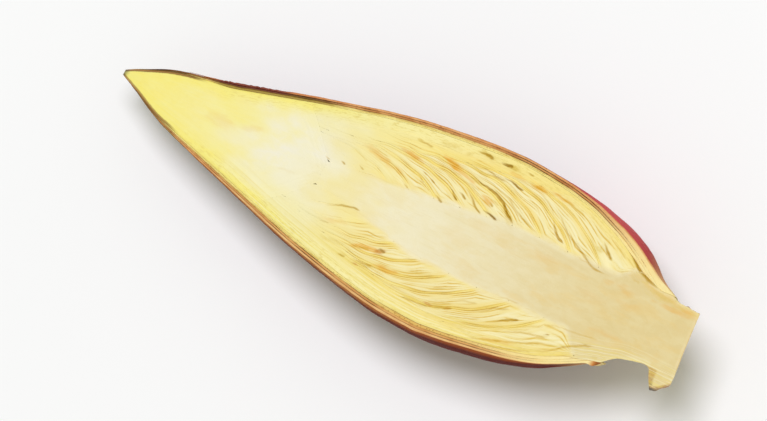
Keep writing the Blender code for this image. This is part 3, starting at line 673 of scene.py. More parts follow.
def strip(name, side, u, outer, inner, crown, proud, seam_out, seam_in, materials, seed, wall=WALL):
    """One layer between two lines, from the cut face round to the keel."""
    room = np.maximum(0.05, flesh_edge(side, u) - core_edge(side, u))
    width = (outer - inner) * room
    count = int(np.clip(math.ceil(width.max() / 0.34), 2, 26))
    places = face_columns(width, count)
    share = outer[:, None] - places / room[:, None]
    uu = np.repeat(u[:, None], places.shape[1], 1)
    v, _ = at_share(side, uu, share, 0.0)
    face = np.stack((uu, v, np.zeros_like(v)), -1)
    tu = np.repeat(u[:, None], len(wall), 1)
    iv, iw = at_share(side, tu, inner[:, None], wall)
    ov, ow = at_share(side, tu, outer[:, None], wall[::-1])
    rings = np.concatenate((face, np.stack((tu, iv, iw), -1), np.stack((tu, ov, ow), -1)), 1)
    allu = rings[..., 0]
    ncol = face.shape[1]
    layv = np.concatenate((share, np.repeat(inner[:, None], len(wall), 1), np.repeat(outer[:, None], len(wall), 1)), 1)
    lay = streamline(side, allu, np.clip(layv, 0, 1))
    relief, attributes = flesh_attributes(rings, ncol, lay)
    beside = (1 - layv) * room[:, None]
    near_rind = 0.12 + 0.88 * smooth(0.0, 1.0, (beside - (4.5 - 4.0 * smooth(150, 225, allu))) / 5.0)
    live = smooth(108, 142, allu) * near_rind * smooth(0.0, 0.14, layv)
    # ribbons, which run the whole length of the layer and narrow towards the rind
    x = places / np.maximum(width[:, None], 1e-6)
    broad = width.max()
    run = ribbons(900 + seed + 50 * (side > 0), x, u, broad)
    fold = np.zeros(rings.shape[:2])
    fold[:, :ncol] = run * live[:, :ncol]
    # the folds also drive painted shade in their valleys and a painted highlight on their backs
    attributes["fold"] = fold
    relief = relief + 0.17 * (fold[:, :ncol] - 0.3 * live[:, :ncol]) * (0.25 + 0.75 * width[:, None] / broad)
    # each layer leans over the next one, so that its outer edge stands a little higher than its inner one
    lean = (0.5 - x) * np.clip(width[:, None] / 2.0, 0, 1) * live[:, :ncol]
    relief = relief + 0.14 * lean
    # the middle of each strip's width, which the flesh material paints paler as a highlight on its rounded back
    mid = np.zeros(rings.shape[:2])
    mid[:, :ncol] = (1 - np.abs(2 * x - 1) ** 1.6) * np.clip(width[:, None] / 2.2, 0, 1) * (0.3 + 0.7 * live[:, :ncol])
    attributes["mid"] = mid
    puff = crown * (1 - (2 * x - 1) ** 2) * np.clip(width[:, None] / 2.5, 0, 1)
    tilt = proud[:, None] * np.clip(width[:, None] / 1.2, 0, 1)
    drop = 0.26 * edge_drop(count, seam_out, seam_in) * np.clip(width[:, None] / 0.9, 0.15, 1)
    high = relief + puff + tilt - drop
    limit = 0.75 * -rings[:, ncol, 2][:, None]
    rings[:, :ncol, 2] = np.maximum(high, -np.maximum(limit, 0.3))
    # edge columns and walls, which the flesh material paints golden as shade in the seams
    line = np.zeros(rings.shape[:2])
    line[:, :ncol] = np.clip(edge_drop(count, seam_out, seam_in), 0, 1)
    line[:, ncol:] = 1.0
    attributes["line"] = line
    column_slot = [0] * rings.shape[1]
    return loft(name, rings, column_slot, materials, attributes, caps=hollow_caps(rings.shape[1], ncol, len(wall)))


def build_layers(side, bract_material, floret_material):
    word = "upper" if side > 0 else "lower"
    joints = JOINTS[side]
    made = []
    for k in range(len(joints) - 1):
        joint = joints[k + 1]
        fine = np.arange(HEART_SHOULDER + 0.02, joint, 0.05)
        above = layer_line(side, k + 1, fine) > shoulder(side, fine) + 0.002
        start = fine[np.argmax(above)] if above.any() else HEART_SHOULDER
        u = np.concatenate((start + np.array([0.04, 0.16, 0.34]), np.arange(start + 0.6, joint - 1.0, 0.44), joint - np.array([0.75, 0.45, 0.2, 0.02])))
        if joints[k] > start + 1.0:
            # the line below meets the core at a point, so there are stations at it and just before it
            u = np.concatenate((u[np.abs(u - joints[k] + 0.3) > 0.45], joints[k] + np.array([-0.55, -0.25, -0.06, 0.0])))
            u.sort()
        room = np.maximum(0.05, flesh_edge(side, u) - core_edge(side, u))
        high, low = layer_line(side, k + 1, u), np.maximum(layer_line(side, k, u), shoulder(side, u))
        t = joint - u
        free_low = smooth(0, 6, joints[k] - u) * smooth(92, 124, u)       # 0 where the layer lies on the core or the heart
        free_high = smooth(0, 7, t) * smooth(88, 122, u)
        uneven = waves(300 + k + 40 * (side > 0), 12.0, 45.0)
        loose = 0.35 + 0.65 * np.clip(0.5 + 0.9 * uneven(u), 0, 1)
        # pressed tight and smooth beside the rind and by the heart, loose further in and towards the stem
        shut = smooth(104, 138, u) * smooth(0.0, 1.0, ((1 - high) * room - (5.5 - 5.0 * smooth(150, 225, u))) / 4.0)
        loose = loose * (0.10 + 0.90 * shut)
        gap = 0.004 + 0.008 * np.clip(uneven(u + 31), 0, 1) * shut
        outer = high - np.where(free_high > 0, gap * free_high, 0) / room
        floor = low + gap * free_low / room
        has_florets = k >= 2
        reach = min(FLORET_REACH, joint - HEART_END - 4.0)
        thick = 0.90 + 0.15 * uneven(u - 17)
        thin = outer - thick / room
        if has_florets:
            full = np.maximum(smooth(reach - 2, reach + 16, t), smooth(2.6, 1.3, t))
            inner = np.maximum(floor, thin * (1 - full) + floor * full)
        else:
            inner = floor
        keep = (outer - inner) * room > 0.015
        inner = np.where(keep, inner, outer - 0.015 / room)
        far = smooth(0, 8, t) * smooth(84, 112, u)
        proud = far * (0.10 * waves(500 + k + 50 * (side > 0), 25.0, 70.0)(u))
        split = has_florets * (1.0 - (smooth(reach - 2, reach + 16, t) if has_florets else 0.0))
        made.append((strip(f"leaf_{word}_{k + 1:02d}", side, u, outer, inner, 0.04, proud, loose * free_high,
                           np.maximum(loose * free_low * (1 - split), 0.8 * loose * split * smooth(0, 10, t)), [bract_material], k),
                     f"inner_bract_{word}_{k + 1:02d}", "inner_bract"))
        if not has_florets:
            continue
        wide = (inner - floor) * room
        usable = np.where((wide > 0.10) & (t > 1.2) & (t < reach + 15))[0]
        a, b = usable.min(), usable.max() + 1
        uf, rf, tf = u[a:b], room[a:b], t[a:b]
        ends = smooth(0, 9, uf - uf[0]) * smooth(0, 6, uf[-1] - uf)
        clear = 0.005 + 0.008 * ends
        fo, fi = inner[a:b] - clear / rf, floor[a:b] + 0.3 * clear * free_low[a:b] / rf
        wide = (fo - fi) * rf
        fi = np.where(wide < 0.05, fo - 0.05 / rf, fi)
        puffy = waves(700 + k + 60 * (side > 0), 14.0, 40.0)
        crown = (0.12 + 0.16 * np.clip(0.5 + puffy(uf), 0, 1)) * ends
        proud = far[a:b] * (0.06 * waves(800 + k + 60 * (side > 0), 25.0, 70.0)(uf))
        made.append((strip(f"florets_{word}_{k + 1:02d}", side, uf, fo, fi, crown[:, None], proud,
                           0.8 * loose[a:b] * ends, loose[a:b] * free_low[a:b] * ends, [floret_material], k + 20),
                     f"floret_row_{word}_{k + 1:02d}", "floret"))
    return made


# ------------------------------------------------------------------ heart and core
def half_rings(u, v_up, v_down, under, face_count, phis):
    """Rings with face_count + 1 columns over the cut face, + side first, and then the arc under it."""
    places = np.linspace(0, 1, face_count + 1)
    face_v = v_up[:, None] * (1 - places) - v_down[:, None] * places
    face = np.stack((np.repeat(u[:, None], face_count + 1, 1), face_v, np.zeros_like(face_v)), -1)
    v, w = under(np.repeat(u[:, None], len(phis), 1), phis)
    return np.concatenate((face, np.stack((np.repeat(u[:, None], len(phis), 1), v, w), -1)), 1)


def build_heart(material, skin):
    u = np.concatenate((np.array([0.15, 0.4, 0.8]), np.arange(1.3, 99.6, 0.55), [99.995]))
    phis = np.linspace(math.pi + BETA, -BETA, 46)[1:-1]
    share = np.minimum(1.0, shoulder(1, u))

    def edge(side):
        return core_edge(side, u) * (1 - share) + flesh_edge(side, u) * share

    def under(uu, ph):
        s = np.minimum(1.0, shoulder(1, uu))
        cv, cw = arc(core_edge(1, uu), core_edge(-1, uu), ph, 1.0)
        rv, rw = rind_arc(uu, depth_of(3, uu, ph), ph)
        return cv * (1 - s) + rv * s, cw * (1 - s) + rw * s

    rings = half_rings(u, edge(1), edge(-1), under, 150, phis)
    ncol = 151
    rim = np.minimum(edge(1)[:, None] - rings[:, :ncol, 1], rings[:, :ncol, 1] + edge(-1)[:, None])
    lay = np.zeros(rings.shape[:2])
    across = rings[:, :ncol, 1]
    lay[:, :ncol] = 22.0 * across / np.maximum(np.where(across > 0, edge(1)[:, None], edge(-1)[:, None]), 0.3)
    relief, attributes = flesh_attributes(rings, ncol, lay)
    calm = smooth(0.0, 14.0, u)[:, None]
    bands = waves(41, 1.6, 6.0, 14)(rim) * 0.05 * smooth(0.4, 3.0, rim) * smooth(20, 5, rim)
    rings[:, :ncol, 2] = relief * calm * 0.8 + 0.45 * bands * calm - 0.30 * np.exp(-rim / 0.35) * smooth(88, 70, u)[:, None] * calm
    attributes["line"] = np.zeros(rings.shape[:2])
    attributes["fold"] = np.zeros(rings.shape[:2])
    return loft("heart_bud", rings, [0] * rings.shape[1], [material], attributes)


def build_core(material, rough_end):
    u = np.concatenate((100.0 + np.array([0.0, 0.3]), np.arange(100.7, 262.0, 0.6), np.arange(262.0, 278.3, 0.42), [278.4]))
    phis = np.linspace(math.pi + BETA, -BETA, 66)[1:-1]

    rings = half_rings(u, core_edge(1, u), core_edge(-1, u), core_point, 96, phis)
    ncol = 97
    n = len(u)
    # the collar is uneven: old bract scars and the pull of the knife
    ph = np.concatenate((np.full(ncol, np.nan), phis))
    arcs = rings[:, ncol:, :]
    rag = ripples(61, 0.25, 1.2, 18)
    lump = ripples(62, 0.5, 2.4, 12)
    uu = arcs[..., 0]
    centre = (core_edge(1, u) - core_edge(-1, u))[:, None] / 2
    dv, dw = arcs[..., 1] - centre, arcs[..., 2]
    # the neck is undercut on its lower side
    deep = -arcs[..., 2]
    inset = 0.22 * deep - core_edge(-1, np.minimum(uu + 0.37 * deep, 267.0))
    under = np.maximum(0.0, inset - arcs[..., 1]) * smooth(235.0, 239.5, uu + 0.1 * deep) * smooth(270.0, 264.0, uu + 0.2 * deep) * smooth(26.0, 12.0, deep)
    dv = dv + under
    swell = 1 + 0.012 * lump(phis[None, :] * 3.0, uu * 0.12) * smooth(248, 258, uu) + 0.022 * rag(phis[None, :] * 2.2, uu * 0.10) * smooth(266, 271, uu)
    arcs[..., 1], arcs[..., 2] = centre + dv * swell, dw * swell
    # the stem's cut end leans, and its rim is rounded by the cut
    relief, attributes = flesh_attributes(rings, ncol)
    flat = smooth(272, 279, u)[:, None]
    fib = ripples(63, 0.7, 3.0, 26, 9.0)
    rings[:, :ncol, 2] = relief * (1 - 0.5 * flat) * 0.8 + 0.03 * fib(rings[:, :ncol, 0], rings[:, :ncol, 1]) - 0.25 * smooth(1.2, 0.0, 278.4 - u)[:, None]
    shear = END_SHEAR * smooth(262.0, 276.0, u)
    ends = 0.22 * ripples(64, 3.0, 14.0, 12)(rings[..., 1], rings[..., 2]) * smooth(274, 278.4, u)[:, None]
    lean = END_LEAN * smooth(266.0, 278.4, u)
    rings[..., 0] += shear[:, None] * rings[..., 1] + lean[:, None] * np.minimum(0.0, rings[..., 2]) + ends
    # the cut end's face, as rings that close towards the pith
    middle = np.array([0.0, (19.0 - 12.8) / 2, -7.0])
    last = rings[-1].copy()
    extra = []
    for i, s in enumerate((0.985, 0.95, 0.88, 0.78, 0.66, 0.53, 0.40, 0.27, 0.14, 0.05)):
        ring = last.copy()
        ring[:, 1] = middle[1] + (last[:, 1] - middle[1]) * s
        ring[:, 2] = middle[2] + (last[:, 2] - middle[2]) * s
        ring[:, 0] = 278.4 + END_SHEAR * ring[:, 1] + END_LEAN * ring[:, 2] + 0.10 + 0.10 * lump(ring[:, 1] * 0.15, ring[:, 2] * 0.15) - 0.5 * (1 - s) ** 2
        extra.append(ring)
    rings = np.concatenate((rings, np.stack(extra)), 0)
    k = len(extra)
    for key in list(attributes):
        tail = np.repeat(attributes[key][-1:], k, 0)
        if key in ("slit", "orange", "olive", "brown", "pale"):
            tail = tail * 0
        attributes[key] = np.concatenate((attributes[key], tail), 0)
    attributes["line"] = np.zeros(rings.shape[:2])
    attributes["fold"] = np.zeros(rings.shape[:2])
    face = np.zeros(rings.shape[:2])
    face[:, :ncol] = 1.0
    face[n:] = 0.0
    attributes["face"] = face
    brim = np.minimum(core_edge(1, u)[:, None] - rings[:n, :, 1], rings[:n, :, 1] + core_edge(-1, u)[:, None])
    attributes["brim"] = np.concatenate((brim, np.zeros((k, rings.shape[1]))), 0)
    end = np.zeros(rings.shape[:2])
    end[n:] = 1.0
    attributes["end"] = end
    angle = np.zeros(rings.shape[:2])
    angle[:, ncol:] = phis
    attributes["angle"] = angle
    return loft("stem_and_core", rings, [0] * ncol + [0] * len(phis), [material], attributes)


# ------------------------------------------------------------------ the rind
def upper_margin(u):
    x = np.clip((u - 26.8) / (263.0 - 26.8), 0, 1)
    wave = waves(71, 18.0, 80.0)(u) * 2.2 * smooth(0.03, 0.2, x)
    return np.radians(-6.0 + 76.0 * np.sin(math.pi * np.minimum(1.0, x * 1.25) / 2) ** 0.8 - 17.0 * smooth(0.72, 1.0, x) + wave)


def lower_margin(u):
    x = np.clip((u - 22.0) / (249.0 - 22.0), 0, 1)
    wave = waves(72, 18.0, 80.0)(u) * 2.2 * smooth(0.03, 0.2, x)
    return math.pi - np.radians(-6.0 + 68.0 * np.sin(math.pi * np.minimum(1.0, x * 1.2) / 2) ** 0.8 - 15.0 * smooth(0.72, 1.0, x) + wave)


rib = ripples(81, 0.018, 0.07, 26, 260.0)      # fine ribs: long in u (mm), narrow in phi (radians)
dent = ripples(82, 12.0, 60.0, 14, 1.5)


def build_rind(name, level, phi_a, phi_b, columns, edges, materials, free=(False, False), step=0.9, ribbed=True, seed=0):
    """A rind bract. phi_a and phi_b give its two edges, edges says which of them lie on the cut, and free which are margins."""
    first = {(True, False): TIPS[1][level], (False, True): TIPS[-1][level], (True, True): min(TIPS[1][level], TIPS[-1][level])}[edges]
    mid_phi = {(True, False): 0.0, (False, True): math.pi, (True, True): math.pi / 2}[edges]
    # stations follow each column from its tip to its base, since both slant round the axis
    n = int((base_of(level, mid_phi) - first) / step)
    share = np.linspace(0, 1, n + 1)
    share = np.concatenate(([0.0], share[1:] ** 1.0))
    turns = np.linspace(0, 1, columns + 1)
    probe = first + (base_of(level, mid_phi) - first) * share
    a, b = phi_a(probe), phi_b(probe)
    phi = a[:, None] * (1 - turns) + b[:, None] * turns
    start = tip_of(level, phi) + 0.05
    stop = base_of(level, phi) - 0.05
    u = start + (stop - start) * share[:, None]
    t = thickness(level, u, phi)
    d = depth_of(level, u, phi)
    radius = (outline[1](u) + outline[-1](u)) / 2
    margin = np.full(u.shape, 99.0)
    if free[0]:
        margin = np.minimum(margin, (phi - a[:, None]) * radius)
    if free[1]:
        margin = np.minimum(margin, (b[:, None] - phi) * radius)
    thin = 0.30 + 0.70 * smooth(0.0, 7.0, margin)
    skin_depth = d + t * (1 - thin)
    lift = np.zeros_like(u)
    if any(free):
        curl = 0.30 * smooth(5.0, 0.0, margin) * np.clip(0.55 + waves(90 + seed, 14.0, 50.0)(u), 0, 1)
        skin_depth = skin_depth - curl
        lift = curl
    if ribbed:
        skin_depth = skin_depth - 0.055 * rib(u, phi) * smooth(4, 30, u) - 0.10 * dent(u, phi * radius)
    if level == 0:
        # the stub of an older bract's foot, by the cut on the lower side
        skin_depth = skin_depth - 1.5 * np.exp(-((stop - u - 2.6) / 2.3) ** 2) * smooth(0.90 * math.pi, 0.985 * math.pi, phi)
    tuck = 1.7 * smooth(7.0, 0.0, stop - u) * np.clip(np.sin(np.clip(phi, 0, math.pi)), 0, 1)
    skin_depth = skin_depth + tuck
    under_depth = d + t + tuck - lift
    ov, ow = rind_arc(u, skin_depth, phi)
    iv, iw = rind_arc(u, under_depth, phi)
    outer = np.stack((u, ov, ow), -1)
    inner = np.stack((u, iv, iw), -1)
    across = np.array([0.10, 0.28, 0.46, 0.64, 0.82, 0.94])
    blocks, kinds, acrosses, margins, turns_at = [outer], [0] * columns, [np.zeros(u.shape)], [margin], [phi]

    def rim(j, on_cut, forwards):
        """Columns from the outer face to the inner one (or back) at edge column j."""
        places = across if forwards else across[::-1]
        s = places[None, :]
        depth = skin_depth[:, j, None] * (1 - s) + under_depth[:, j, None] * s
        uu = np.repeat(u[:, j, None], len(places), 1)
        ph = np.repeat(phi[:, j, None], len(places), 1)
        v, w = rind_arc(uu, depth, ph)
        if on_cut:
            relief, _ = cut_fields(uu, v)
            tex = ripples(93 + level, 0.8, 4.0, 20, 4.0)
            w = w + relief * 0.6 + 0.10 * tex(uu, v) + 0.09 * (1 - (2 * s - 1) ** 2) - 0.05
            if level > 0:
                # the outermost bract stands a little away from the next one near the point, on the upper side
                w = w - 0.7 * smooth(6, 12, uu) * smooth(96, 82, uu) * (v > 0)
        return np.stack((uu, v, w), -1), np.repeat(places[None, :], len(u), 0), ph

    p, s, ph = rim(columns, edges[1], True)
    blocks.append(p)
    kinds += [1 if edges[1] else 0] * (len(across) + 1)
    acrosses.append(s)
    margins.append(np.full(s.shape, 0.0 if free[1] else 99.0))
    turns_at.append(ph)
    blocks.append(inner[:, ::-1])
    kinds += [2] * columns
    acrosses.append(np.ones(u.shape))
    margins.append(margin[:, ::-1])
    turns_at.append(phi[:, ::-1])
    p, s, ph = rim(0, edges[0], False)
    blocks.append(p)
    kinds += [1 if edges[0] else 0] * (len(across) + 1)
    acrosses.append(s)
    margins.append(np.full(s.shape, 0.0 if free[0] else 99.0))
    turns_at.append(ph)
    rings = np.concatenate(blocks, 1)
    ph = np.concatenate(turns_at, 1)
    # the outermost edge by the cut is torn back a little near the point, on the upper side
    torn = np.zeros(rings.shape[:2])
    if edges[0] and level < 2:
        zone = smooth(36, 41, rings[..., 0]) * smooth(73, 66, rings[..., 0]) * smooth(0.5, 0.0, ph + BETA)
        fray = 0.6 + 0.6 * waves(95, 1.6, 6.0, 12)(rings[..., 0])
        near = np.clip(1 - np.abs(rings[..., 2]) / 3.0, 0, 1)
        rings[..., 2] -= zone * near * (1.3 if level == 0 else 0.4) * np.clip(fray, 0.1, 1.3)
        torn = zone * (1.0 if level == 0 else 0.75)
    attributes = {"across": np.concatenate(acrosses, 1), "margin": np.concatenate(margins, 1), "angle": ph, "torn": torn,
                  "to_base": base_of(level, ph) - rings[..., 0], "to_tip": rings[..., 0] - tip_of(level, ph)}
    covered = np.minimum(np.abs(ph - upper_margin(rings[..., 0])), np.abs(ph - lower_margin(rings[..., 0]))) * 30
    attributes["beside"] = covered
    # the ring's end is closed with quads between its outer and inner faces
    m, c, r = rings.shape[1], columns, len(across)
    caps = [[j, j + 1, c + 1 + r + (c - j - 1), c + 1 + r + (c - j)] for j in range(c)]
    caps += [list(range(c, c + r + 2)), list(range(2 * c + 1 + r, m)) + [0]]
    return loft(name, rings, kinds, materials, attributes, cap_slots=(0, 0), caps=caps)


# ------------------------------------------------------------------ materials
def rgb(red, green, blue):
    """A colour given in the 0 to 255 scale of a screen."""
    def part(c):
        c /= 255.0
        return c / 12.92 if c <= 0.04045 else ((c + 0.055) / 1.055) ** 2.4
    return (part(red), part(green), part(blue), 1.0)


class Shade:
    """Wires up one procedural material."""

    def __init__(self, name):
        self.material = bpy.data.materials.new(name)
        self.material.use_nodes = True
        self.tree = self.material.node_tree
        self.tree.nodes.clear()
        self.output = self.add("ShaderNodeOutputMaterial")
        self.shader = self.add("ShaderNodeBsdfPrincipled")
        self.link(self.shader.outputs["BSDF"], self.output.inputs["Surface"])

    def add(self, kind):
        return self.tree.nodes.new(kind)

    def link(self, value, socket):
        if isinstance(value, (int, float)):
            socket.default_value = value
        elif isinstance(value, tuple):
            socket.default_value = value
        else:
            self.tree.links.new(value, socket)

    def value(self, name):
        node = self.add("ShaderNodeAttribute")
        node.attribute_name = name
        return node.outputs["Fac"]

    def vector(self, name, scale=(1.0, 1.0, 1.0), shift=(0.0, 0.0, 0.0)):
        node = self.add("ShaderNodeAttribute")
        node.attribute_name = name
        move = self.add("ShaderNodeMapping")
        move.inputs["Scale"].default_value = scale
        move.inputs["Location"].default_value = shift
        self.link(node.outputs["Vector"], move.inputs["Vector"])
        return move.outputs["Vector"]

    def compose(self, x, y, z):
        node = self.add("ShaderNodeCombineXYZ")
        for value, key in zip((x, y, z), "XYZ"):
            self.link(value, node.inputs[key])
        return node.outputs[0]

    def math(self, kind, a, b=0.0, clamp=False):
        node = self.add("ShaderNodeMath")
        node.operation = kind
        node.use_clamp = clamp
        self.link(a, node.inputs[0])
        self.link(b, node.inputs[1])
        return node.outputs[0]

    def span(self, x, a, b, low=0.0, high=1.0):
        """low where x is at a, high where it is at b, with soft ends."""
        node = self.add("ShaderNodeMapRange")
        node.interpolation_type = "SMOOTHSTEP"
        self.link(x, node.inputs["Value"])
        if a < b:
            values = (a, b, low, high)
        else:
            values = (b, a, high, low)
        for key, v in zip(("From Min", "From Max", "To Min", "To Max"), values):
            node.inputs[key].default_value = v
        return node.outputs["Result"]

    def noise(self, vector, scale, detail=3.0, rough=0.55, twist=0.0):
        node = self.add("ShaderNodeTexNoise")
        self.link(vector, node.inputs["Vector"])
        for key, v in (("Scale", scale), ("Detail", detail), ("Roughness", rough), ("Distortion", twist)):
            node.inputs[key].default_value = v
        return node.outputs["Fac"]

    def cells(self, vector, scale, feature="F1"):
        node = self.add("ShaderNodeTexVoronoi")
        node.feature = feature
        self.link(vector, node.inputs["Vector"])
        node.inputs["Scale"].default_value = scale
        return node.outputs["Distance"]

    def mix(self, share, a, b, kind="MIX"):
        node = self.add("ShaderNodeMix")
        node.data_type = "RGBA"
        node.blend_type = kind
        self.link(share, node.inputs[0])
        self.link(a, node.inputs[6])
        self.link(b, node.inputs[7])
        return node.outputs[2]

    def times(self, a, b):
        return self.math("MULTIPLY", a, b)

    def most(self, a, b):
        return self.math("MAXIMUM", a, b)

    def bump(self, height, distance, normal=None):
        node = self.add("ShaderNodeBump")
        node.inputs["Strength"].default_value = 1.0
        node.inputs["Distance"].default_value = distance
        self.link(height, node.inputs["Height"])
        if normal is not None:
            self.link(normal, node.inputs["Normal"])
        return node.outputs["Normal"]

    def finish(self, colour, rough, normal=None, waxy=0.0, coat=0.0, coat_rough=0.3, gloss=0.5):
        s = self.shader.inputs
        self.link(colour, s["Base Color"])
        self.link(rough, s["Roughness"])
        if normal is not None:
            self.link(normal, s["Normal"])
        s["Specular IOR Level"].default_value = gloss
        if waxy:
            s["Subsurface Weight"].default_value = waxy
            s["Subsurface Radius"].default_value = (1.0, 0.70, 0.36)
            s["Subsurface Scale"].default_value = 0.0010
        if coat:
            s["Coat Weight"].default_value = coat
            s["Coat Roughness"].default_value = coat_rough
        return self.material


def flesh(name, kind):
    """The cut flesh: the heart, the bracts packed round it, the florets or the core."""
    m = Shade(name)
    split = m.add("ShaderNodeSeparateXYZ")
    m.link(m.vector("section"), split.inputs[0])
    u, v, w = split.outputs
    cloud_big = m.noise(m.vector("section", (0.030, 0.050, 0.05)), 1.0, 3.0, 0.5, 0.4)
    cloud_small = m.noise(m.vector("section", (0.16, 0.26, 0.2)), 1.0, 4.0, 0.55, 0.6)
    along = {"heart": (0.030, 0.45, 0.3), "leaf": (0.030, 0.26, 0.3), "floret": (0.030, 0.26, 0.3), "core": (0.060, 0.30, 0.3)}[kind]
    streak = m.noise(m.vector("flow", along), 1.0, 4.0, 0.55, 0.35)
    fine = m.noise(m.vector("flow", (along[0] * 1.6, along[1] * 3.0, 1.0), (7.0, 3.0, 1.0)), 1.0, 3.0, 0.55, 0.2)
    speck = m.noise(m.vector("section", (0.9, 1.3, 1.0)), 1.0, 3.0, 0.6)

    colour = m.mix(m.span(cloud_big, 0.35, 0.65), rgb(247, 242, 222), rgb(248, 242, 208))
    # ribbons of pale and golden flesh, which follow each layer
    ribbon = m.span(streak, 0.30, 0.70)
    strips = m.mix(ribbon, {"floret": rgb(250, 232, 146)}.get(kind, rgb(251, 230, 132)),
                   {"floret": rgb(245, 218, 120)}.get(kind, rgb(246, 217, 106)))
    # painted highlight: paler along the middle of each strip's rounded back
    if kind in ("leaf", "floret"):
        body = m.mix(ribbon, {"floret": rgb(249, 240, 190)}.get(kind, rgb(251, 235, 148)), {"floret": rgb(246, 230, 158)}.get(kind, rgb(246, 222, 120)))
        strips = m.mix(m.times(m.value("mid"), {"floret": 0.9}.get(kind, 0.7)), strips, body)
    strips = m.mix(m.times(m.span(fine, 0.50, 0.70), 0.16), strips, rgb(232, 200, 94))
    strips = m.mix(m.times(m.span(cloud_small, 0.54, 0.72), 0.08), strips, rgb(248, 240, 190))
    strips = m.mix(m.times(m.span(v, -8.0, -24.0), 0.25), strips, rgb(230, 200, 98))
    strips = m.mix(m.times(m.span(m.value("rim"), 7.5, 3.5, 0.0, 0.80), m.span(u, 205.0, 140.0, 0.30, 1.0)), strips, m.mix(m.span(u, 130.0, 190.0), rgb(252, 240, 172), rgb(249, 229, 144)))
    strips = m.mix(m.span(u, 146.0, 104.0, 0.0, 0.80), strips, rgb(251, 240, 172))
    # painted shade: golden in the fold valleys; painted highlight: paler on the fold backs
    fold = m.value("fold")
    strips = m.mix(m.times(m.span(fold, 0.15, -0.70), 0.85), strips, rgb(222, 180, 56))
    strips = m.mix(m.times(m.span(fold, 0.20, 0.65), 0.45), strips, {"floret": rgb(252, 243, 196)}.get(kind, rgb(252, 239, 160)))
    colour = m.mix(m.value("layer"), colour, strips)
    heart = m.mix(m.times(m.span(cloud_small, 0.35, 0.68), m.span(m.value("layer"), 1.0, 0.0, 0.06, 1.0)), colour, rgb(249, 242, 204))
    colour = m.mix(m.times(m.value("yellow"), 0.45), heart, colour)

    length = m.span(u, 134.0, 254.0)
    inner = m.mix(length, rgb(244, 233, 190), rgb(228, 206, 142))
    inner = m.mix(m.times(m.span(cloud_small, 0.40, 0.66), 0.50), inner, m.mix(length, rgb(246, 237, 204), rgb(236, 219, 162)))
    inner = m.mix(m.times(m.span(streak, 0.46, 0.70), 0.28), inner, m.mix(length, rgb(247, 239, 208), rgb(238, 222, 168)))
    inner = m.mix(m.times(m.span(fine, 0.54, 0.72), 0.16), inner, rgb(222, 198, 134))
    warm = m.noise(m.vector("section", (0.05, 0.15, 0.15)), 1.0, 4.0, 0.62, 0.5)
    inner = m.mix(m.times(m.span(warm, 0.48, 0.66), m.span(u, 150.0, 200.0, 0.12, 0.34)), inner, rgb(236, 202, 120))
    if kind == "core":
        # a yellow margin along the neck and the stem
        margin = m.times(m.span(m.value("brim"), 1.9, 0.3), m.span(u, 240.0, 250.0))
        inner = m.mix(m.times(margin, 0.70), inner, rgb(232, 206, 96))
        high = m.times(m.span(m.value("brim"), 5.0, 1.0), m.times(m.span(v, 4.0, 10.0), m.span(u, 238.0, 252.0)))
        inner = m.mix(m.times(high, m.span(cloud_small, 0.35, 0.62, 0.25, 0.75)), inner, rgb(236, 196, 104))
    centre = m.value("core")
    if kind in ("leaf", "floret"):
        # the last layers run into the stem without a step
        place = m.math("ADD", u, m.times(cloud_small, 8.0))
        foot = m.math("MAXIMUM", m.times(m.span(place, 234.0, 245.0), m.span(v, -4.0, -9.0)), m.times(m.span(place, 243.0, 253.0), m.span(v, 4.0, 9.0)))
        centre = m.most(centre, m.times(foot, 0.85))
    colour = m.mix(centre, colour, inner)
    if kind == "core":
        # the flange's scarred rim
        edge = m.math("ADD", u, m.math("MULTIPLY", m.math("ADD", v, 10.0), 0.10))
        bark = m.times(m.span(edge, 272.6, 271.2), m.times(m.span(v, -9.4, -10.6), m.span(u, 262.0, 266.0)))
        colour = m.mix(m.times(bark, m.span(speck, 0.3, 0.6, 0.70, 1.0)), colour, m.mix(m.span(cloud_small, 0.40, 0.60), rgb(204, 164, 78), rgb(178, 134, 56)))
        corner = m.times(m.times(m.span(m.math("ADD", v, m.times(speck, 2.0)), -13.4, -16.2), m.span(edge, 273.0, 271.6)), m.span(u, 262.0, 266.0))
        colour = m.mix(m.times(corner, 0.92), colour, rgb(88, 68, 34))
        sole = m.times(m.span(m.value("brim"), 1.3, 0.4), m.times(m.span(v, -9.0, -12.0), m.span(u, 268.0, 270.0)))
        colour = m.mix(m.times(sole, 0.85), colour, rgb(186, 140, 72))

    tint = m.mix(m.span(cloud_small, 0.20, 0.80), rgb(253, 241, 126), rgb(253, 237, 112))
    tint = m.mix(m.span(u, 84.0, 116.0), tint, m.mix(m.span(cloud_small, 0.20, 0.80), rgb(253, 243, 168), rgb(252, 239, 152)))
    tint = m.mix(m.times(m.span(streak, 0.40, 0.72), 0.25), tint, rgb(252, 244, 160))
    colour = m.mix(m.value("yellow"), colour, tint)
    colour = m.mix(m.times(m.span(fine, 0.56, 0.72), m.times(m.value("yellow"), 0.14)), colour, rgb(240, 220, 104))

    # fine dotted lines that run along the rind
    dots = m.noise(m.compose(m.times(u, 0.30), m.times(m.value("rim"), 1.5), 0.0), 1.0, 2.0, 0.7)
    by_rind = m.times(m.span(m.value("rim"), 7.5, 1.5), m.span(u, 24.0, 60.0))
    colour = m.mix(m.times(by_rind, m.times(m.span(dots, 0.50, 0.66), 0.55)), colour, rgb(226, 202, 104))
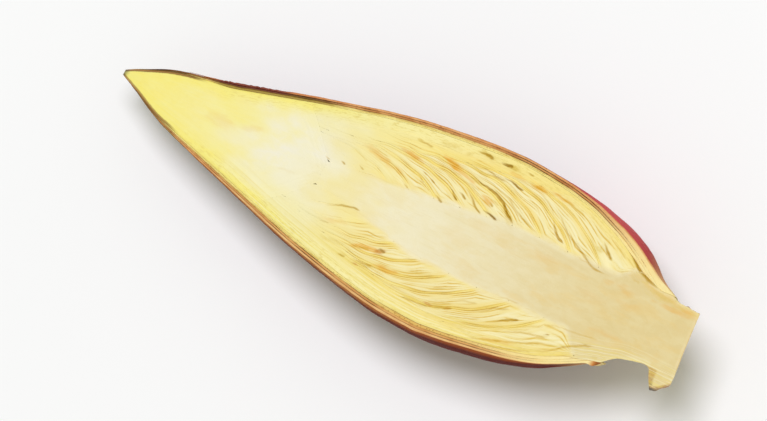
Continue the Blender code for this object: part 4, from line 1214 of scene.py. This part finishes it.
    # yellow and pale stripes beside the lower rind
    stripes = m.noise(m.compose(m.times(u, 0.02), m.times(m.value("rim"), 1.3), 5.0), 1.0, 3.0, 0.6)
    low_zone = m.times(m.times(m.span(m.value("rim"), 12.0, 6.0), m.span(v, 0.0, -6.0)), m.span(u, 45.0, 80.0))
    colour = m.mix(m.times(low_zone, m.span(stripes, 0.50, 0.62, 0.0, 0.40)), colour, rgb(238, 216, 100))
    colour = m.mix(m.times(low_zone, m.span(stripes, 0.48, 0.38, 0.0, 0.45)), colour, rgb(254, 248, 196))

    # painted shade: golden along the rounded seams and the walls between pieces
    painted_seam_shade = m.times(m.span(m.value("line"), 0.05, 0.85), m.span(cloud_small, 0.34, 0.66, 0.25, 0.95))
    colour = m.mix(painted_seam_shade, colour, rgb(216, 172, 48))
    colour = m.mix(m.times(m.span(m.value("pale"), 0.1, 0.9), 0.10), colour, rgb(248, 240, 204))
    stain = m.times(m.value("orange"), m.span(fine, 0.25, 0.62, 0.45, 1.0))
    colour = m.mix(stain, colour, rgb(234, 170, 34))
    colour = m.mix(m.times(m.value("olive"), m.span(speck, 0.25, 0.62, 0.4, 1.0)), colour, rgb(216, 184, 64))
    colour = m.mix(m.times(m.value("brown"), m.span(speck, 0.25, 0.62, 0.5, 1.0)), colour, rgb(204, 136, 46))
    # the slits, golden to olive brown: the flesh's own colour there plus painted shade
    dark = m.mix(m.value("tone"), rgb(222, 176, 6), rgb(150, 110, 0))
    colour = m.mix(m.times(m.value("slit"), m.span(speck, 0.2, 0.7, 0.93, 1.0)), colour, dark)
    # painted shade: darker golden the further a surface lies below the cut, in the gaps between pieces
    colour = m.mix(m.value("deep"), colour, rgb(214, 172, 76))
    if kind == "heart":
        rim = m.value("rim")
        bare = m.times(m.span(u, 36.0, 28.0), m.span(m.math("ADD", rim, m.times(speck, 0.5)), 1.5, 0.9))
        colour = m.mix(m.times(bare, m.span(v, -2.0, 2.0, 0.70, 0.92)), colour, rgb(128, 82, 30))
        crust = m.times(m.span(u, 30.0, 24.0), m.span(m.math("ADD", rim, m.times(speck, 0.3)), 0.75, 0.45))
        colour = m.mix(m.times(crust, 0.85), colour, rgb(190, 138, 74))
        tip = m.span(m.math("ADD", u, m.math("MULTIPLY", cloud_small, 2.0)), 3.6, 1.2)
        colour = m.mix(m.times(tip, 0.75), colour, rgb(96, 92, 62))

    if kind == "core":
        skin_noise = m.noise(m.compose(m.times(u, 0.16), m.times(m.value("angle"), 3.0), 0.0), 1.0, 4.0, 0.6, 0.3)
        lines = m.noise(m.compose(m.times(u, 0.05), m.times(m.value("angle"), 26.0), 3.0), 1.0, 3.0, 0.6)
        place = m.math("ADD", u, m.math("MULTIPLY", m.math("SUBTRACT", skin_noise, 0.5), 3.0))
        skin = m.mix(m.span(place, 244.0, 256.0), rgb(247, 233, 170), rgb(243, 226, 140))
        skin = m.mix(m.span(place, 261.0, 266.5), skin, rgb(198, 178, 84))
        skin = m.mix(m.span(place, 266.2, 267.8), skin, rgb(96, 70, 34))
        skin = m.mix(m.span(place, 269.0, 271.2), skin, rgb(176, 118, 62))
        skin = m.mix(m.span(place, 272.0, 276.0), skin, rgb(204, 148, 84))
        skin = m.mix(m.times(m.span(lines, 0.48, 0.66), 0.35), skin, rgb(150, 104, 54))
        # the flange's golden scar and its dark corner
        scar = m.times(m.span(v, -8.5, -10.5), m.times(m.span(u, 264.0, 267.0), m.span(u, 275.5, 274.0)))
        skin = m.mix(m.times(scar, 0.88), skin, m.mix(m.span(speck, 0.36, 0.62), rgb(214, 174, 74), rgb(164, 122, 44)))
        heel = m.times(m.span(m.math("ADD", v, m.times(speck, 2.0)), -13.0, -15.8), m.span(u, 275.0, 273.2))
        skin = m.mix(m.times(heel, 0.88), skin, rgb(88, 66, 32))
        colour = m.mix(m.value("face"), skin, colour)
        fibres = m.cells(m.vector("section", (0.2, 1.0, 1.0)), 1.15)
        butt = m.mix(m.span(fibres, 0.15, 0.55), rgb(214, 170, 104), rgb(236, 208, 146))
        colour = m.mix(m.value("end"), colour, butt)

    share = 0.3 if kind == "core" else 1.0
    if kind in ("leaf", "floret"):
        colour = m.mix(1.0, colour, m.mix(m.span(u, 96.0, 136.0), (0.925, 0.925, 0.925, 1.0), (0.955, 0.955, 0.955, 1.0)), "MULTIPLY")
    else:
        colour = m.mix(1.0, colour, (0.93, 0.93, 0.93, 1.0), "MULTIPLY")
    height = m.math("ADD", m.times(streak, 0.7 * share), m.math("ADD", m.times(fine, 0.3 * share), m.times(speck, 0.30)))
    normal = m.bump(height, 0.00018)
    rough = m.span(cloud_small, 0.3, 0.7, 0.42, 0.56)
    return m.finish(colour, rough, normal, gloss=0.42 if kind in ("heart", "core") else 0.30)


def rind_edge(name, level):
    """The knife's cut through a rind bract: tan, with its vessels as dots between two darker skins."""
    m = Shade(name)
    split = m.add("ShaderNodeSeparateXYZ")
    m.link(m.vector("section"), split.inputs[0])
    u, v, w = split.outputs
    across = m.value("across")
    cloud_small = m.noise(m.vector("section", (0.10, 0.4, 0.4)), 1.0, 4.0, 0.6, 0.4)
    speck = m.noise(m.vector("section", (0.45, 1.4, 1.0)), 1.0, 3.0, 0.65)
    along = m.noise(m.compose(m.times(u, 0.06), m.times(across, 4.0), float(level)), 1.0, 3.0, 0.6)
    pores = m.cells(m.vector("section", (0.75, 1.3, 1.0)), 1.0)
    upper = m.span(v, -3.0, 3.0)
    tan = {0: rgb(212, 144, 82), 1: rgb(188, 124, 62), 2: rgb(214, 184, 96)}[level]
    light = {0: rgb(230, 172, 108), 1: rgb(212, 154, 86), 2: rgb(240, 218, 132)}[level]
    colour = m.mix(m.span(cloud_small, 0.36, 0.64), tan, light)
    colour = m.mix(m.times(m.span(along, 0.52, 0.66), 0.45), colour, {0: rgb(194, 124, 64), 1: rgb(168, 104, 46), 2: rgb(196, 160, 70)}[level])
    colour = m.mix(m.times(m.span(pores, 0.40, 0.14), m.span(speck, 0.35, 0.6, 0.15, 0.7)), colour,
                   {0: rgb(176, 110, 52), 1: rgb(150, 90, 40), 2: rgb(170, 130, 52)}[level])
    if level == 2:
        colour = m.mix(m.span(across, 0.50, 0.92), colour, rgb(246, 230, 138))
    if level == 2:
        # a golden band towards the stem on the lower side
        gold = m.times(m.span(v, -4.0, -10.0), m.times(m.span(u, 142.0, 162.0), m.span(u, 236.0, 214.0)))
        band = m.mix(m.span(pores, 0.40, 0.14), rgb(224, 180, 92), rgb(178, 128, 48))
        band = m.mix(m.span(across, 0.70, 0.95), band, rgb(176, 126, 46))
        colour = m.mix(m.times(gold, 0.85), colour, band)
    low = m.span(v, -3.0, -9.0)
    if level == 0:
        colour = m.mix(m.times(m.times(low, 0.80), m.span(u, 40.0, 80.0)), colour, m.mix(m.span(cloud_small, 0.36, 0.64), rgb(222, 174, 110), rgb(236, 196, 130)))
    if level == 1:
        colour = m.mix(m.times(low, 0.65), colour, m.mix(m.span(cloud_small, 0.36, 0.64), rgb(214, 156, 84), rgb(228, 178, 104)))
    # thin, dark skins
    outer = m.times(m.span(across, 0.22, 0.02), {0: 0.30, 1: 0.92, 2: 0.62}[level])
    outer = m.times(outer, m.times(m.span(speck, 0.2, 0.6, 0.6, 1.0), m.span(low, 0.0, 1.0, 1.0, 0.7)))
    colour = m.mix(outer, colour, {0: rgb(150, 78, 34), 1: rgb(120, 64, 26), 2: rgb(150, 96, 40)}[level])
    inner = m.times(m.span(across, 0.86, 1.0), {0: 0.75, 1: 0.45, 2: 0.0}[level])
    colour = m.mix(inner, colour, rgb(122, 66, 32))
    # by the point the thin rind is brown; further along on the upper side, painted shadow in the gap under the
    # outermost bract: dark brown on the middle bract, olive on the inner one, partly its own colour
    if level > 0:
        colour = m.mix(m.times(m.span(u, 34.0, 22.0), 0.80), colour, {1: rgb(176, 122, 66), 2: rgb(112, 78, 36)}[level])
        shadowed_gap_zone = m.times(upper, m.times(m.span(u, 34.0, 42.0), m.span(u, 100.0, 80.0)))
        colour = m.mix(m.times(shadowed_gap_zone, 0.88), colour, {1: rgb(104, 74, 28), 2: rgb(166, 142, 58)}[level])
    else:
        colour = m.mix(m.times(m.times(upper, m.span(u, 110.0, 70.0)), 0.6), colour, rgb(190, 104, 58))
    # pale bases
    base = m.span(m.math("ADD", m.value("to_base"), m.times(cloud_small, 12.0)), {0: 62.0, 1: 58.0, 2: 70.0}[level], {0: 22.0, 1: 18.0, 2: 20.0}[level])
    if level == 0:
        base = m.times(base, m.span(across, 0.06, 0.42))
    colour = m.mix(m.times(base, 0.92), colour, rgb(248, 226, 152))
    foot = m.span(m.math("ADD", m.value("to_base"), m.times(cloud_small, 5.0)), 20.0, 8.0)
    colour = m.mix(foot, colour, rgb(247, 228, 160))
    if level == 0:
        stub = m.times(m.span(v, 0.0, -6.0), m.span(m.value("to_base"), 5.5, 2.5))
        colour = m.mix(stub, colour, m.mix(m.span(m.value("to_base"), 3.4, 1.2), rgb(204, 130, 56), rgb(150, 86, 28)))
    colour = m.mix(m.times(m.value("torn"), 0.85), colour, rgb(124, 50, 46))
    height = m.math("ADD", m.times(pores, 0.8), speck)
    return m.finish(colour, m.span(speck, 0.3, 0.7, 0.5, 0.66), m.bump(height, 0.00020), gloss=0.28)


def bract_skin(name, level):
    """The waxy maroon outside of a bract."""
    m = Shade(name)
    split = m.add("ShaderNodeSeparateXYZ")
    m.link(m.vector("section"), split.inputs[0])
    u, v, w = split.outputs
    angle = m.value("angle")
    lines = m.noise(m.compose(m.times(u, 0.016), m.times(angle, 34.0), 0.0), 1.0, 4.0, 0.65, 0.15)
    broad = m.noise(m.compose(m.times(u, 0.012), m.times(angle, 7.0), 4.0), 1.0, 3.0, 0.55, 0.3)
    blotch = m.noise(m.vector("section", (0.035, 0.06, 0.06)), 1.0, 4.0, 0.6, 0.5)
    speck = m.noise(m.vector("section", (0.5, 0.9, 0.9)), 1.0, 3.0, 0.6)
    colour = m.mix(m.span(blotch, 0.36, 0.66), rgb(106, 32, 30), rgb(132, 46, 42))
    colour = m.mix(m.times(m.span(broad, 0.42, 0.68), 0.55), colour, rgb(86, 22, 28))
    colour = m.mix(m.times(m.span(lines, 0.50, 0.66), 0.50), colour, rgb(166, 64, 56))
    colour = m.mix(m.times(m.span(lines, 0.46, 0.34), 0.55), colour, rgb(70, 18, 22))
    # pink towards the upper shoulder: the skin's own colour plus painted light on the side that faces the lamp
    colour = m.mix(m.times(m.span(v, 18.0, 44.0), m.times(m.span(u, 170.0, 215.0), 0.82)), colour, rgb(216, 92, 94))
    # along the lower side: darker below the cut, the skin's own brown plus painted shade, then brown-orange right by
    # the cut, the cut edge's tan plus a painted highlight on its rounded edge
    below = m.span(v, -6.0, -14.0)
    colour = m.mix(m.times(below, m.span(w, -22.0, -8.0, 0.0, 0.80)), colour, m.mix(m.span(u, 170.0, 130.0), rgb(98, 28, 14), rgb(120, 60, 30)))
    colour = m.mix(m.times(below, m.span(m.math("ADD", w, m.times(speck, 1.2)), -4.6, -0.2, 0.0, 0.88)), colour, m.mix(m.span(u, 180.0, 135.0), rgb(178, 90, 40), rgb(200, 126, 62)))
    # the grey bloom on what the next bract out has just bared
    if level == 1:
        near = m.math("ADD", m.value("beside"), m.times(blotch, 8.0))
        colour = m.mix(m.times(m.span(near, 15.0, 5.0), m.span(m.value("to_tip"), 40.0, 90.0, 0.62, 0.30)), colour, rgb(104, 74, 88))
    else:
        colour = m.mix(m.times(m.span(m.value("margin"), 2.6, 0.9), 0.40), colour, rgb(176, 92, 92))
        colour = m.mix(m.times(m.span(m.value("margin"), 1.0, 0.35), 0.85), colour, rgb(224, 178, 160))
    if level > 0:
        # brown where the knife laid the skin bare
        colour = m.mix(m.span(w, -2.4, -0.8), colour, rgb(112, 62, 30))
    # olive points and pale bases
    point = m.math("ADD", m.value("to_tip"), m.times(blotch, 16.0))
    colour = m.mix(m.times(m.span(point, 34.0, 10.0), 0.80), colour, rgb(158, 142, 66))
    colour = m.mix(m.times(m.span(point, 15.0, 7.0), 0.7), colour, rgb(120, 84, 44))
    foot = m.math("ADD", m.value("to_base"), m.math("ADD", m.times(blotch, 10.0), m.times(lines, 6.0)))
    colour = m.mix(m.times(m.span(foot, 30.0, 11.0), 0.92), colour, rgb(226, 178, 122))
    colour = m.mix(m.times(m.span(foot, 17.0, 8.0), 0.95), colour, rgb(242, 222, 156))
    colour = m.mix(m.times(m.value("torn"), 0.5), colour, rgb(120, 52, 46))
    height = m.math("ADD", m.times(lines, 1.3), m.math("ADD", m.times(broad, 0.8), m.times(speck, 0.35)))
    rough = m.math("ADD", m.span(blotch, 0.3, 0.7, 0.34, 0.46), m.times(speck, 0.08))
    return m.finish(colour, m.math("ADD", rough, 0.14), m.bump(height, 0.00026), gloss=0.03)


def bract_inside(name):
    """The side that faces the next bract in: pale rose with yellow towards its foot."""
    m = Shade(name)
    lines = m.noise(m.compose(m.times(m.value("to_tip"), 0.016), m.times(m.value("angle"), 30.0), 0.0), 1.0, 3.0, 0.6)
    blotch = m.noise(m.vector("section", (0.04, 0.07, 0.07)), 1.0, 3.0, 0.6)
    colour = m.mix(m.span(lines, 0.4, 0.65), rgb(176, 92, 74), rgb(206, 134, 100))
    colour = m.mix(m.span(m.math("ADD", m.value("to_base"), m.times(blotch, 20.0)), 70.0, 20.0), colour, rgb(236, 206, 140))
    return m.finish(colour, 0.5, m.bump(lines, 0.00015), waxy=0.08)


# ------------------------------------------------------------------ the pieces
def place(piece, node, slot):
    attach(piece, "root")
    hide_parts(node)


leaf_flesh, floret_flesh = flesh("inner bract flesh", "leaf"), flesh("floret flesh", "floret")
heart_flesh, core_flesh = flesh("heart flesh", "heart"), flesh("stem and core flesh", "core")
skins = [bract_skin(f"bract skin {i}", i) for i in range(3)]
rind_edges = [rind_edge(f"cut rind {i}", i) for i in range(3)]
inside = bract_inside("bract inside")

place(build_heart(heart_flesh, None), "heart", "heart")
place(build_core(core_flesh, None), "stem_core", "stem_core")
for side in (1, -1):
    for piece, node, slot in build_layers(side, leaf_flesh, floret_flesh):
        place(piece, node, slot)


def cut_up(u):
    return np.full(np.shape(u), -BETA)


def cut_low(u):
    return np.full(np.shape(u), math.pi + BETA)


def keel_up(u):
    return np.full(np.shape(u), math.pi / 2 - 0.004)


def keel_low(u):
    return np.full(np.shape(u), math.pi / 2 + 0.004)


place(build_rind("rind_skin_upper", 0, cut_up, upper_margin, 60, (True, False), [skins[0], rind_edges[0], inside], (False, True), seed=1),
      "outer_bract_upper", "outer_bract")
place(build_rind("rind_skin_lower", 0, lower_margin, cut_low, 56, (False, True), [skins[0], rind_edges[0], inside], (True, False), seed=2),
      "outer_bract_lower", "outer_bract")
place(build_rind("rind_skin_middle", 1, cut_up, cut_low, 98, (True, True), [skins[1], rind_edges[1], inside], step=1.0, seed=3),
      "middle_bract", "outer_bract")
place(build_rind("rind_inner_upper", 2, cut_up, keel_up, 34, (True, False), [skins[2], rind_edges[2], inside], seed=4),
      "rind_bract_upper", "rind_bract")
place(build_rind("rind_inner_lower", 2, keel_low, cut_low, 34, (False, True), [skins[2], rind_edges[2], inside], seed=5),
      "rind_bract_lower", "rind_bract")


# ------------------------------------------------------------------ floor, light and camera
def direction(x, y, z):
    d = np.array((x, y, z), float) @ TURN.T
    return d / np.linalg.norm(d)


floor_mesh = bpy.data.meshes.new("table_top")
floor_mesh.from_pydata([(-8, -8, 0), (8, -8, 0), (8, 8, 0), (-8, 8, 0)], [], [(0, 1, 2, 3)])
floor = bpy.data.objects.new("table_top", floor_mesh)
bpy.context.scene.collection.objects.link(floor)
paper = Shade("pale table")
place_at = paper.add("ShaderNodeTexCoord").outputs["Object"]
tint = paper.noise(place_at, 3.0, 2.0, 0.5)
paper.finish(paper.mix(paper.span(tint, 0.3, 0.7), (0.940, 0.940, 0.940, 1), (0.950, 0.950, 0.950, 1)), 0.75, None, gloss=0.15)
floor_mesh.materials.append(paper.material)

scene = bpy.context.scene
world = bpy.data.worlds.new("studio")
world.use_nodes = True
scene.world = world
background = world.node_tree.nodes["Background"]
background.inputs["Color"].default_value = (0.976, 1.0, 0.868, 1)
background.inputs["Strength"].default_value = 0.46

middle = to_world(np.array((140.0, 0.0, 0.0)))


def area(name, toward, distance, size, power, colour=(1, 1, 1)):
    lamp = bpy.data.lights.new(name, "AREA")
    lamp.shape = "DISK"
    lamp.size = size
    lamp.energy = power
    lamp.color = colour
    made = bpy.data.objects.new(name, lamp)
    scene.collection.objects.link(made)
    d = direction(*toward)
    made.location = Vector(middle + d * distance)
    made.rotation_euler = Vector(d).to_track_quat("Z", "Y").to_euler()
    return made


area("key", (0.11, 0.10, 1.0), 4.0, 1.7, 99.5, (0.976, 0.962, 1.052))

TARGET = np.array((130.4, -2.4, 0.0))
toward = np.array((math.tan(math.radians(20.0)), -math.tan(math.radians(8.0)), 1.0))
toward /= np.linalg.norm(toward)
along = np.array((1.0, 0.0, 0.0)) - toward[0] * toward
along /= np.linalg.norm(along)
crosswise = np.cross(toward, along)
roll = math.radians(27.0123)
right = math.cos(roll) * along + math.sin(roll) * crosswise
up = np.cross(toward, right)
SCALE = 0.418676                       # mm of the section for each of the image's 767 columns
aim = TARGET + (383.5 - 379.38) * SCALE * right - (210.5 - 208.493) * SCALE * up
eye = to_world(aim + 4000.0 * toward)
axes = np.stack((right, up, toward), 1)
turned = TURN @ axes
matrix = Matrix([[*turned[i], eye[i]] for i in range(3)] + [[0, 0, 0, 1]])
lens = bpy.data.cameras.new("camera")
lens.sensor_fit = "HORIZONTAL"
lens.sensor_width = 36.0
lens.lens = 36.0 * 4000.0 / (767.0 * SCALE)
lens.clip_start, lens.clip_end = 0.1, 50.0
camera = bpy.data.objects.new("camera", lens)
camera.matrix_world = matrix
scene.collection.objects.link(camera)
scene.camera = camera
scene.view_settings.view_transform = "Standard"
scene.view_settings.look = "None"

bpy.context.view_layer.update()
